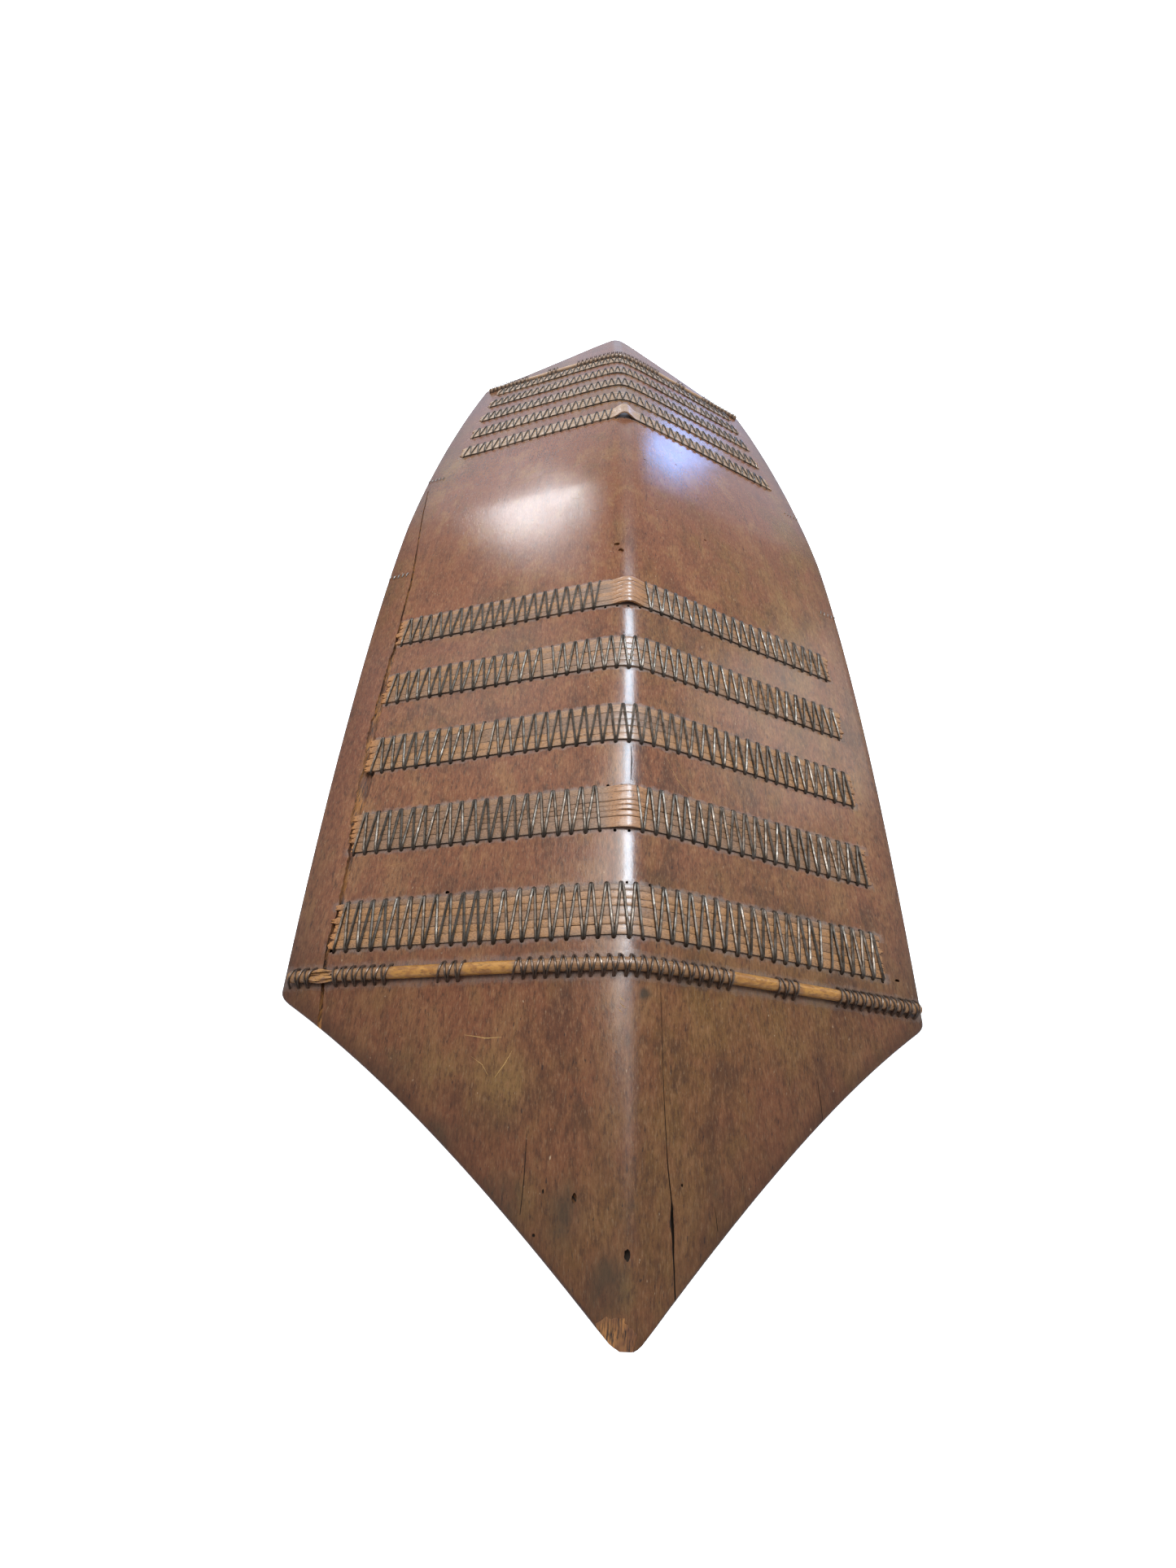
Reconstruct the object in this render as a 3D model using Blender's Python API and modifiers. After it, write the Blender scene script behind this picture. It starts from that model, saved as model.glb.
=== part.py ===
"""Long six-sided shield of patinated wood, lying ridge up.

One board is carved with its ridge, its pointed ends and the grip on its back. Bands of split rattan
cross both halves of it, and a round cane crosses the board at each pair of shoulders. Wire laced through
the board holds bands and canes. Metres, +Z up, the length along Y, the worn corners at z = 0.
"""

import math

import bmesh
import bpy
from mathutils import Euler, Vector

# Board outline
LENGTH = 1.200
WIDTH_MIDDLE = 0.442
WIDTH_SHOULDER = 0.408
SHOULDER_SPAN = 0.920
END_EDGE_SAG = 0.0095
CORNER_SOFTENING = 0.007
TIP_ROUNDING = 0.004
TIP_NARROWING = 0.35

# Board section and bow
SIDE_SLOPE = math.radians(19.1)
RIDGE_RADIUS = 0.012
BOW_DROP = 0.061
BOW_POWER = 1.5
THICKNESS_RIDGE = 0.012
THICKNESS_EDGE = 0.007
CORNER_WEAR = 0.0018

# Carved grip on the back
GRIP_LENGTH = 0.150
GRIP_WIDTH = 0.030
GRIP_DEPTH = 0.022
GRIP_POST = 0.024
GRIP_FLARE = 0.016
GRIP_ROUNDING = 0.005
GRIP_SEAT_SHARE = 0.35
FINGER_GAP = 0.034
FINGER_GAP_ROUNDING = 0.008

# Rattan bands
BAND_COUNT = 5
MIDDLE_FIELD = 0.334
BAND_TO_SHOULDER = 0.0405
BAND_WIDTH = 0.028
BAND_THICKNESS = 0.0022
BAND_EDGE_INSET = 0.0275
STRIP_COUNT = 5
STRIP_GROOVE = 0.0006
BAND_LIFT = {("near", 2): 0.0015, ("near", 5): 0.003, ("far", 5): 0.0045}
BAND_LIFT_MARGIN = 0.0025

# Wire lacing of the bands
WIRE = 0.0020
LACING_PITCH = 0.0090
LACING_OVERHANG = 0.0010
LACING_END_INSET = 0.004
BARE_HALF_PATCH = 0.0155
MOST_MERGE_SHARE = 0.45

# Canes at the shoulders and their lacing
CANE_DIAMETER = 0.007
CANE_TO_BAND = {"near": 0.0298, "far": 0.0218}
CANE_END_INSET = {"near": 0.004, "far": 0.010}
CANE_BREAK_INSET = 0.028
CANE_BREAK_LENGTH = 0.015
CANE_BREAK_DIAMETER = 0.0105
CANE_WIRE = 0.0016
CANE_LACING_PITCH = 0.0150
CANE_LACING_OVERHANG = 0.0026
CANE_LACING_END_INSET = 0.004
CANE_LACING_BEND_SHARE = 0.3
CANE_LACING_SPREAD_SHARE = 0.31
CANE_BARE_SHARES = ((0.304, 0.439), (0.515, 0.654))

# Short rows of stitches by the long edges
STITCH_ROWS = {"near": -0.086, "far": 0.101}
STITCH_EDGE_INSET = 0.002
STITCH_ROW_LENGTH = 0.0192
STITCH_PITCH = 0.0048
STITCH_LENGTH = 0.004
STITCH_WIRE = 0.0010

# Damage at the near end
HOLE_SIZE = (0.0042, 0.0062)
HOLE_TO_TIP = 0.031
SLOT_SIZE = (0.0024, 0.0060)
SLOT_PLACE = (-0.0237, 0.050)
CHIP_CORNER = (0.0045, 0.0058)
CHIP_TURN = math.radians(17)
CHIP_SLOPE = math.radians(25)
CHIP_ROLL = math.radians(1.5)
CHIP_BLOCK = 0.030
CRACK_DEPTH = 0.0036
CRACK_WIDTH = 0.0018
CRACK_END_SHARE = 0.35
LONG_CRACK = (
    (-0.4655, 0.0265),
    (-0.443, 0.0260),
    (-0.392, 0.0265),
    (-0.328, 0.0270),
    (-0.2555, 0.0240),
    (-0.144, 0.0232),
    (-0.046, 0.0180),
    (0.044, 0.0075),
    (0.080, 0.0040),
)
END_CRACKS = (
    ((0.0178, 0.139), (0.0183, 0.093), (0.0208, 0.048), (0.0214, 0.030), (0.0214, 0.0175)),
    ((-0.0475, 0.0725), (-0.0472, 0.056), (-0.0478, 0.044)),
    ((0.0432, 0.046), (0.0442, 0.040)),
)

# Gap between touching pieces, and how finely the board is divided
GAP = 0.0003
COLUMN_SHARES = (-1.0, -0.12, -0.042, 0.0, 0.042, 0.12, 1.0)
SIDE_ROWS = 7
END_ROWS = 5

SMALL = 1e-6
THROUGH = 0.03
SIGNS = {"near": -1, "far": 1, "left": -1, "right": 1}


def band_line(number):
    """Distance of a band from the middle of the board, counted from the shoulder inwards."""
    outer = SHOULDER_SPAN / 2 - BAND_TO_SHOULDER
    inner = MIDDLE_FIELD / 2
    return outer + (inner - outer) * (number - 1) / max(BAND_COUNT - 1, 1)


def cane_line(end):
    """Distance of a cane from the middle of the board."""
    return band_line(1) + CANE_TO_BAND[end]


def soft_minimum(a, b, reach):
    """The smaller of two values, rounded off where they are within reach of each other."""
    overlap = max(reach - abs(a - b), 0) / reach
    return min(a, b) - overlap * overlap * reach / 4


def half_width(y):
    """Half the board's width: long bowed sides, then hollow end edges down to a blunt tip."""
    distance = abs(y)
    shoulder = SHOULDER_SPAN / 2
    corner = WIDTH_SHOULDER / 2
    side = WIDTH_MIDDLE / 2 - (WIDTH_MIDDLE - WIDTH_SHOULDER) / 2 * (distance / shoulder) ** 2
    apex = LENGTH / 2 + TIP_ROUNDING
    bend = 4 * END_EDGE_SAG / corner**2
    fall = (apex - shoulder) / corner + bend * corner
    inside = max(fall * fall - 4 * bend * (apex - distance), 0)
    end = (fall - math.sqrt(inside)) / (2 * bend)
    width = soft_minimum(side, end, CORNER_SOFTENING)
    into_tip = max(1 - (LENGTH / 2 - distance) / TIP_ROUNDING, 0)
    return width * (1 - TIP_NARROWING * into_tip**2)


def drop(x, y):
    """How far the board's upper face lies below the top of the ridge at the middle."""
    bow = BOW_DROP * (abs(y) / (LENGTH / 2)) ** BOW_POWER
    roof = math.tan(SIDE_SLOPE) * (math.hypot(x, RIDGE_RADIUS) - RIDGE_RADIUS)
    return bow + roof


def row_stations():
    """Places along the length where the board has a row of points, from the near tip to the far one."""
    shoulder = SHOULDER_SPAN / 2
    half = LENGTH / 2
    last_side = shoulder - CORNER_SOFTENING
    rows = [last_side * i / SIDE_ROWS for i in range(SIDE_ROWS + 1)]
    rows += [shoulder - CORNER_SOFTENING / 4, shoulder + CORNER_SOFTENING / 4]
    first_end = shoulder + CORNER_SOFTENING
    last_end = half - TIP_ROUNDING
    rows += [first_end + (last_end - first_end) * i / END_ROWS for i in range(END_ROWS + 1)]
    rows.append(half)
    return [-y for y in rows[:0:-1]] + rows


ROWS = row_stations()
RIDGE_TOP = max(drop(half_width(y), y) for y in ROWS) + THICKNESS_EDGE - CORNER_WEAR


def top(x, y):
    """Height of the board's upper face."""
    return RIDGE_TOP - drop(x, y)


def thickness(x, y):
    share = min(abs(x) / half_width(y), 1)
    return THICKNESS_EDGE + (THICKNESS_RIDGE - THICKNESS_EDGE) * (1 - share * share)


def clear_scene():
    for obj in list(bpy.data.objects):
        bpy.data.objects.remove(obj, do_unlink=True)


def new_collection(name):
    collection = bpy.data.collections.new(name)
    bpy.context.scene.collection.children.link(collection)
    return collection


def new_material(name, colour, roughness, metallic):
    material = bpy.data.materials.new(name)
    material.use_nodes = True
    shader = material.node_tree.nodes["Principled BSDF"]
    shader.inputs["Base Color"].default_value = (*colour, 1)
    shader.inputs["Roughness"].default_value = roughness
    shader.inputs["Metallic"].default_value = metallic
    return material


def new_object(name, shape, collection, material=None):
    """Turns a bmesh into an object of the collection."""
    bmesh.ops.recalc_face_normals(shape, faces=shape.faces)
    mesh = bpy.data.meshes.new(name)
    shape.to_mesh(mesh)
    shape.free()
    obj = bpy.data.objects.new(name, mesh)
    collection.objects.link(obj)
    if material:
        mesh.materials.append(material)
    else:
        obj.hide_render = True
        obj.display_type = "WIRE"
    return obj


def loft(rings):
    """A closed solid through rings of points that have equal counts but unlike shapes."""
    shape = bmesh.new()
    loops = [[shape.verts.new(point) for point in ring] for ring in rings]
    for here, following in zip(loops, loops[1:]):
        for i, corner in enumerate(here):
            shape.faces.new((here[i - 1], corner, following[i], following[i - 1]))
    shape.faces.new(loops[0])
    shape.faces.new(loops[-1])
    return shape


def add_boolean(target, name, operation, other):
    modifier = target.modifiers.new(name, "BOOLEAN")
    modifier.operation = operation
    modifier.solver = "EXACT"
    modifier.object = other


def make_board(parts, cutters, material):
    """The board: a flat grid bent to the roof and the bow, given its thickness downwards."""
    columns = len(COLUMN_SHARES)
    shape = bmesh.new()
    bmesh.ops.create_grid(shape, x_segments=columns - 1, y_segments=len(ROWS) - 1, size=1)
    for vert in shape.verts:
        share = COLUMN_SHARES[round((vert.co.x + 1) / 2 * (columns - 1))]
        y = ROWS[round((vert.co.y + 1) / 2 * (len(ROWS) - 1))]
        x = share * half_width(y)
        vert.co = (x, y, top(x, y))
    lower = bmesh.ops.extrude_face_region(shape, geom=shape.faces[:])["geom"]
    for vert in lower:
        if isinstance(vert, bmesh.types.BMVert):
            vert.co.z -= thickness(vert.co.x, vert.co.y)
    board = new_object("board", shape, parts, material)
    grip = make_grip(cutters)
    add_boolean(board, "grip", "UNION", grip)
    damage = [*make_holes(cutters), make_chip(cutters), *make_cracks(cutters)]
    for cutter in (make_floor_cutter(cutters), *damage):
        add_boolean(board, cutter.name, "DIFFERENCE", cutter)
    return board


def grip_levels():
    """Heights of the board's underside over the grip, and of the bar's upper and lower face."""
    ceiling = RIDGE_TOP - THICKNESS_RIDGE
    bar_top = ceiling - FINGER_GAP
    return ceiling, bar_top, bar_top - GRIP_DEPTH


def make_grip(cutters):
    """A bar along the ridge on two posts that flare into the board, cut from one block."""
    ceiling, bar_top, bar_bottom = grip_levels()
    block_top = ceiling + THICKNESS_RIDGE * GRIP_SEAT_SHARE
    block = bmesh.new()
    bmesh.ops.create_cube(block, size=1)
    for vert in block.verts:
        upper = vert.co.z > 0
        length = GRIP_LENGTH + (2 * GRIP_FLARE if upper else 0)
        vert.co.x *= GRIP_WIDTH
        vert.co.y *= length
        vert.co.z = block_top if upper else bar_bottom
    grip = new_object("grip block", block, cutters)
    rounding = grip.modifiers.new("rounding", "BEVEL")
    rounding.width = GRIP_ROUNDING
    rounding.segments = 2
    hole = bmesh.new()
    bmesh.ops.create_cube(hole, size=1)
    for vert in hole.verts:
        vert.co.x *= GRIP_WIDTH * 2
        vert.co.y *= GRIP_LENGTH - 2 * GRIP_POST
        vert.co.z = block_top + FINGER_GAP_ROUNDING if vert.co.z > 0 else bar_top
    across = [edge for edge in hole.edges if abs(edge.verts[0].co.x - edge.verts[1].co.x) > SMALL]
    floor_edges = [edge for edge in across if edge.verts[0].co.z < ceiling]
    bmesh.ops.bevel(
        hole,
        geom=floor_edges,
        offset=FINGER_GAP_ROUNDING,
        offset_type="OFFSET",
        segments=2,
        profile=0.5,
        affect="EDGES",
        material=-1,
    )
    add_boolean(grip, "finger gap", "DIFFERENCE", new_object("finger gap", hole, cutters))
    return grip


def make_floor_cutter(cutters):
    """Everything of the board below z = 0, which leaves a worn flat on each corner."""
    shape = bmesh.new()
    bmesh.ops.create_cube(shape, size=1)
    for vert in shape.verts:
        vert.co.x *= WIDTH_MIDDLE + THROUGH
        vert.co.y *= LENGTH + THROUGH
        vert.co.z = 0 if vert.co.z > 0 else -THROUGH
    return new_object("worn corners", shape, cutters)


def upright_hole(name, x, y, size, cutters):
    shape = bmesh.new()
    bmesh.ops.create_cone(
        shape, cap_ends=True, segments=8, radius1=0.5, radius2=0.5, depth=2 * THROUGH
    )
    for vert in shape.verts:
        vert.co.x = x + vert.co.x * size[0]
        vert.co.y = y + vert.co.y * size[1]
        vert.co.z += top(x, y)
    return new_object(name, shape, cutters)


def make_holes(cutters):
    tip = -LENGTH / 2
    oval = upright_hole("tip hole", 0, tip + HOLE_TO_TIP, HOLE_SIZE, cutters)
    slot = upright_hole("slot", SLOT_PLACE[0], tip + SLOT_PLACE[1], SLOT_SIZE, cutters)
    return oval, slot


def make_chip(cutters):
    """A block set askew, whose sloping underside breaks the upper left side off the near tip."""
    shape = bmesh.new()
    bmesh.ops.create_cube(shape, size=CHIP_BLOCK)
    cutter = new_object("tip chip", shape, cutters)
    x = CHIP_CORNER[0]
    y = -LENGTH / 2 + CHIP_CORNER[1]
    turn = Euler((CHIP_SLOPE, -CHIP_ROLL, -CHIP_TURN))
    cutter.rotation_euler = turn
    to_centre = Vector((-CHIP_BLOCK / 2, 0, CHIP_BLOCK / 2))
    cutter.location = Vector((x, y, top(x, y))) + turn.to_matrix() @ to_centre
    return cutter


def crack_cutter(name, points, cutters):
    """A wedge that runs through the points and narrows to nothing at both ends."""
    rings = []
    for i, (x, y) in enumerate(points):
        share = CRACK_END_SHARE if i in (0, len(points) - 1) else 1
        half = CRACK_WIDTH / 2 * share
        height = top(x, y)
        rings.append(
            (
                (x - half, y, height + CRACK_DEPTH / 2),
                (x + half, y, height + CRACK_DEPTH / 2),
                (x, y, height - CRACK_DEPTH * share),
            )
        )
    return new_object(name, loft(rings), cutters)


def make_cracks(cutters):
    long_crack = [(inset - half_width(y), y) for y, inset in LONG_CRACK]
    cracks = [crack_cutter("long crack", long_crack, cutters)]
    for number, crack in enumerate(END_CRACKS, 1):
        points = [(x, -LENGTH / 2 + to_tip) for x, to_tip in reversed(crack)]
        cracks.append(crack_cutter(f"end crack {number}", points, cutters))
    return cracks


def band_lift(end, number, x):
    """How far a loose band stands off the ridge, between the stitches that hold it."""
    share = min(abs(x) / (BARE_HALF_PATCH - BAND_LIFT_MARGIN), 1)
    return BAND_LIFT.get((end, number), 0) * (1 - share * share) ** 2


def band_stations(reach, y, extra=()):
    """Places across a band, at the board's own folds, at the band's ends and where it leaves the ridge."""
    folds = [share * half_width(y) for share in COLUMN_SHARES if 0 < share < 1]
    inner = sorted(x for x in (*folds, *extra) if x < reach - SMALL)
    right = inner + [reach]
    return [-x for x in reversed(right)] + [0] + right


def make_band(end, number, parts, material):
    """A band of strips side by side. Its underside follows the board, and its face has grooves."""
    middle = SIGNS[end] * band_line(number)
    reach = half_width(middle) - BAND_EDGE_INSET
    loose_to = [BARE_HALF_PATCH - BAND_LIFT_MARGIN] if (end, number) in BAND_LIFT else []
    rings = []
    for x in band_stations(reach, middle, loose_to):
        base = GAP + band_lift(end, number, x)
        left = middle - BAND_WIDTH / 2
        ring = [(x, left, top(x, left) + base), (x, left + BAND_WIDTH, top(x, left + BAND_WIDTH) + base)]
        for i in range(2 * STRIP_COUNT, -1, -1):
            y = left + BAND_WIDTH * i / (2 * STRIP_COUNT)
            height = BAND_THICKNESS - (0 if i % 2 else STRIP_GROOVE)
            ring.append((x, y, top(x, y) + base + height))
        rings.append(ring)
    return new_object(f"rattan_band_{end}_{number}", loft(rings), parts, material)


def zigzag(name, turns, wire, height, parts, material):
    """A wire that zigzags between turning points, each leg a strip with three long edges.

    The points are (x, y) in order. At a turn the two legs run together, as wires in one hole do.
    """
    rings = []
    for i, (x, y) in enumerate(turns):
        before = turns[max(i - 1, 0)]
        after = turns[min(i + 1, len(turns) - 1)]
        inward = math.copysign(1, (before[1] + after[1]) / 2 - y)
        run = max(abs(after[0] - before[0]) / (min(i + 1, len(turns) - 1) - max(i - 1, 0)), SMALL)
        rise = abs(after[1] - y) if i + 1 < len(turns) else abs(before[1] - y)
        merge = min(wire * math.hypot(run, rise) / run, rise * MOST_MERGE_SHARE)
        outer = y - inward * wire * 0.5
        merged = outer + inward * merge
        crest = (outer + merged) / 2
        low, high = sorted((outer, merged))
        rings.append(
            ((x, low, height(x, low)), (x, high, height(x, high)), (x, crest, height(x, crest) + wire))
        )
    return new_object(name, loft(rings), parts, material)


def turns_along(start, stop, pitch, low, high):
    """Turning points of a zigzag from start to stop, two for each pitch."""
    count = max(round((stop - start) / pitch), 1) * 2
    step = (stop - start) / count
    return [(start + step * i, high if i % 2 else low) for i in range(count + 1)]


def make_band_lacing(end, number, parts, material):
    """The lacing of one band, in two runs where the band is bare over the ridge."""
    middle = SIGNS[end] * band_line(number)
    reach = half_width(middle) - BAND_EDGE_INSET - LACING_END_INSET
    low = middle - BAND_WIDTH / 2 - LACING_OVERHANG + WIRE / 2
    high = middle + BAND_WIDTH / 2 + LACING_OVERHANG - WIRE / 2

    def height(x, y):
        return top(x, y) + GAP + BAND_THICKNESS + GAP

    if (end, number) in BAND_LIFT:
        runs = {"_left": (-reach, -BARE_HALF_PATCH), "_right": (BARE_HALF_PATCH, reach)}
    else:
        runs = {"": (-reach, reach)}
    for side, (start, stop) in runs.items():
        turns = turns_along(start, stop, LACING_PITCH, low, high)
        zigzag(f"band_lacing_{end}_{number}{side}", turns, WIRE, height, parts, material)


def make_cane(end, parts, material):
    """A round cane from shoulder to shoulder. The near one has split and swollen over the long crack."""
    y = SIGNS[end] * cane_line(end)
    reach = half_width(y) - CANE_END_INSET[end]
    radius = CANE_DIAMETER / 2
    stations = {x: 1 for x in band_stations(reach, y)}
    if end == "near":
        centre = CANE_BREAK_INSET - half_width(y)
        swollen = CANE_BREAK_DIAMETER / CANE_DIAMETER
        for share, swell in ((-1, 1), (-0.5, swollen), (0.5, swollen), (1, 1)):
            stations[centre + share * CANE_BREAK_LENGTH / 2] = swell
    curve = bpy.data.curves.new(f"cane_{end}", "CURVE")
    curve.dimensions = "3D"
    curve.bevel_depth = radius
    curve.bevel_resolution = 2
    curve.use_fill_caps = True
    spline = curve.splines.new("POLY")
    spline.points.add(len(stations) - 1)
    lean = math.cos(SIDE_SLOPE)
    for point, (x, swell) in zip(spline.points, sorted(stations.items())):
        point.co = (x, y, top(x, y) + (radius * swell + GAP) / lean, 1)
        point.radius = swell
    curve.materials.append(material)
    obj = bpy.data.objects.new(f"cane_{end}", curve)
    parts.objects.link(obj)
    return obj


def make_cane_lacing(end, parts, material):
    """Wire over the cane, in five runs between the bare stretches."""
    y = SIGNS[end] * cane_line(end)
    reach = half_width(y) - CANE_END_INSET[end] - CANE_LACING_END_INSET
    inner, outer = ([share * half_width(y) for share in shares] for shares in CANE_BARE_SHARES)
    runs = {
        "left_end": (-reach, -outer[1]),
        "left": (-outer[0], -inner[1]),
        "middle": (-inner[0], inner[0]),
        "right": (inner[1], outer[0]),
        "right_end": (outer[1], reach),
    }
    if end == "near":
        swollen_to = CANE_BREAK_INSET - half_width(y) + CANE_BREAK_LENGTH / 2
        runs["left_end"] = (swollen_to + CANE_WIRE, -outer[1])
    foot = CANE_DIAMETER / 2 + CANE_LACING_OVERHANG
    for place, (start, stop) in runs.items():
        turns = turns_along(start, stop, CANE_LACING_PITCH, -foot, foot)
        rings = [foot_ring(turns[0][0], y, turns[0][1], 0)]
        for leg, ((x0, from_side), (x1, to_side)) in enumerate(zip(turns, turns[1:])):
            bend = (x1 - x0) * CANE_LACING_BEND_SHARE
            rings.append(shoulder_ring(x0 + bend, y, from_side, leg))
            rings.append(shoulder_ring(x1 - bend, y, to_side, leg))
            rings.append(foot_ring(x1, y, to_side, leg + 1))
        new_object(f"cane_lacing_{end}_{place}", loft(rings), parts, material)


def shoulder_of_wire(x, y, side):
    """Where the wire bends over the cane, on the side given by the sign."""
    offset = math.copysign(CANE_DIAMETER * CANE_LACING_SPREAD_SHARE, side)
    return offset, top(x, y) + (CANE_DIAMETER + GAP) / math.cos(SIDE_SLOPE) + GAP


def shoulder_ring(x, y, side, leg):
    """A three-cornered section of the wire, flat on the cane. Its corners swap with the way it travels."""
    offset, height = shoulder_of_wire(x, y, side)
    half = CANE_WIRE / 2 * (1 if leg % 2 else -1)
    along = y + offset
    return [(x + half, along, height), (x - half, along, height), (x, along, height + CANE_WIRE)]


def foot_ring(x, y, side, number):
    """Where two legs meet in one hole: the section stands along the legs."""
    offset, height = shoulder_of_wire(x, y, side)
    floor = top(x, y + side) + GAP
    run = offset - side
    rise = height - floor
    length = math.hypot(run, rise)
    along = (run / length, rise / length)
    merge = length * CANE_LACING_BEND_SHARE
    bottom = (x, y + side, floor)
    upper = (x, y + side + along[0] * merge, floor + along[1] * merge)
    bulge = math.copysign(CANE_WIRE, side) * along[1]
    outer = (x, (bottom[1] + upper[1]) / 2 + bulge, (floor + upper[2]) / 2 + CANE_WIRE / 2)
    return [bottom, upper, outer] if number % 2 else [upper, bottom, outer]


def make_edge_stitches(end, side, parts, material):
    """A short row of small stitches, square to the long edge."""
    y = STITCH_ROWS[end]
    edge = half_width(y) - STITCH_EDGE_INSET
    start, stop = sorted((SIGNS[side] * edge, SIGNS[side] * (edge - STITCH_ROW_LENGTH)))
    low = y - STITCH_LENGTH / 2
    turns = turns_along(start, stop, STITCH_PITCH, low, low + STITCH_LENGTH)

    def height(x, along):
        return top(x, along) + GAP

    return zigzag(f"edge_stitches_{end}_{side}", turns, STITCH_WIRE, height, parts, material)


def main():
    clear_scene()
    parts = new_collection("shield")
    cutters = new_collection("cutters")
    wood = new_material("patinated wood", (0.150, 0.080, 0.055), 0.42, 0)
    rattan = new_material("split rattan", (0.290, 0.170, 0.090), 0.60, 0)
    cane = new_material("round cane", (0.480, 0.270, 0.080), 0.50, 0)
    steel = new_material("grey wire", (0.230, 0.220, 0.210), 0.35, 1)
    bronze = new_material("brown wire", (0.190, 0.130, 0.095), 0.40, 1)
    pale = new_material("pale wire", (0.500, 0.460, 0.420), 0.45, 1)
    make_board(parts, cutters, wood)
    for end in ("near", "far"):
        for number in range(1, BAND_COUNT + 1):
            make_band(end, number, parts, rattan)
            make_band_lacing(end, number, parts, steel)
        make_cane(end, parts, cane)
        make_cane_lacing(end, parts, bronze)
        for side in ("left", "right"):
            make_edge_stitches(end, side, parts, pale)


main()
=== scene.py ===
"""Long shield of carved wood, crossed by bands of split rattan and by canes, all laced on with wire.

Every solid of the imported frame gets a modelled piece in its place. Metres, +Z up, the ridge along Y
and the chipped tip at -Y. The stage has a pale floor, soft lights and the camera.
"""

import math
import random

import bmesh
import bpy
import numpy as np
from bpy.props import FloatProperty, FloatVectorProperty, IntProperty, PointerProperty
from mathutils import Euler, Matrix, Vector, noise


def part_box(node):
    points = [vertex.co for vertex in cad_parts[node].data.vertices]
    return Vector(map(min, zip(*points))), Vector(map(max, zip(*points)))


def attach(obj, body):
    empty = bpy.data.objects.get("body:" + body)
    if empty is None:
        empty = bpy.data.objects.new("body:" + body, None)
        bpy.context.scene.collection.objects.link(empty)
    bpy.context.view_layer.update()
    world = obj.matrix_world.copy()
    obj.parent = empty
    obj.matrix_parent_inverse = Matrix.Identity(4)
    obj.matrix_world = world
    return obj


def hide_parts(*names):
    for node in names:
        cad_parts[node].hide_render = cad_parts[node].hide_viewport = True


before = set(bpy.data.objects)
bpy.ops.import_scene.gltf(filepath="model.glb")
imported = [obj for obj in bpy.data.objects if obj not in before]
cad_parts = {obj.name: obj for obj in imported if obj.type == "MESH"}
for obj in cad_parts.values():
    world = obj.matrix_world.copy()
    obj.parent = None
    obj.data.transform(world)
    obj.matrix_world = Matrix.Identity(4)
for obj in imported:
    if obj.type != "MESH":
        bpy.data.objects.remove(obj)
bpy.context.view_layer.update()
BOARD_LOW, BOARD_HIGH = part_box("board")

bl_info = {
    "name": "Laced shield",
    "version": (1, 0, 0),
    "blender": (4, 5, 0),
    "location": "View3D > Sidebar > Shield",
    "description": "Models a long carved shield with laced rattan bands and canes",
    "category": "Object",
}

ENDS = {"near": -1, "far": 1}
SIDES = {"left": -1, "right": 1}
BAND_NUMBERS = (1, 2, 3, 4, 5)
BANDS = [(end, number) for end in ENDS for number in BAND_NUMBERS]

# What differs between the ends: shares of the wire's and the cane's thickness and of the cane's height,
# distances of the cane and of its wire from the board's edge, and painted sheen on the bands and the cane
WIRE_SHARES = {"near": 1, "far": 0.78}
CANE_SHARES = {"near": 1, "far": 0.8}
CANE_RISES = {"near": 1, "far": 0.7}
CANE_INSETS = {"near": 0.0065, "far": 0.010}
CANE_WIRE_INSETS = {"near": 0.006, "far": 0.011}
BAND_PAINTED_SHEEN = {"near": 0, "far": 0.35}
CANE_PAINTED_SHEEN = {"near": 0, "far": 0.7}

# Material slots of the board and of the canes
WOOD, RAW, BORE, SCORED = range(4)
SKIN, TORN = range(2)

# Columns and rows of the board's grid, and steps along the other pieces
BORDER_COLUMNS = 6
ROUNDING_STEPS = 3
ROW_STEP = 0.0050
GOUGE_STEP = 0.0025
STRIP_STEP = 0.0028
CANE_STEP = 0.0030
WIRE_SIDES = 6
CANE_SIDES = 16
SHARP_ANGLE = math.radians(42)
# Seed of the small shifts of the holes and of the wire, so that every run gives the same
NOISE_SEED = 1

# The tips end this share narrower than their edges lead
TIP_NARROWING = 0.42
# The middle of a cane stands over the face by this share of its radius
CANE_HEIGHT = 0.92

# Turns of the lacing that are bare, by band
BARE_TURNS = {
    ("near", 1): ((2, 3), (31, 32)),
    ("near", 2): ((-4, 1),),
    ("near", 3): ((-23, -22),),
    ("near", 4): ((-14, -13),),
    ("near", 5): ((-5, 3),),
    ("far", 2): ((27, 28),),
    ("far", 5): ((-3, 4),),
}
# How far a loose band stands off the ridge, and the half width of the loose stretch
BAND_LIFT = {("near", 2): 0.0016, ("near", 5): 0.0030, ("far", 5): 0.0048}
LOOSE_HALF_WIDTH = 0.0140

# Widths of the strips of a band as shares of it, from its near edge to its far edge
STRIP_SHARES = {
    ("near", 2): (0.245, 0.136, 0.119, 0.119, 0.210, 0.171),
    ("near", 1): (0.19, 0.16, 0.20, 0.15, 0.17, 0.13),
    ("near", 5): (0.17, 0.15, 0.18, 0.16, 0.17, 0.17),
}
DEFAULT_STRIP_SHARES = (0.18, 0.21, 0.19, 0.20, 0.22)

# Bare stretches of the canes, as shares of the way from the ridge to the board's edge
CANE_BARE_SHARES = ((0.304, 0.439), (0.515, 0.654))
# The near cane's broken place and the count of its loose fibres
BREAK_FROM = -0.1850
BREAK_TO = -0.1690
BREAK_FIBRES = 26

# The grip's posts, their flare and roundings
GRIP_POST = 0.024
GRIP_FLARE = 0.016
GRIP_ROUNDING = 0.005
GAP_ROUNDING = 0.008

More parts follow.
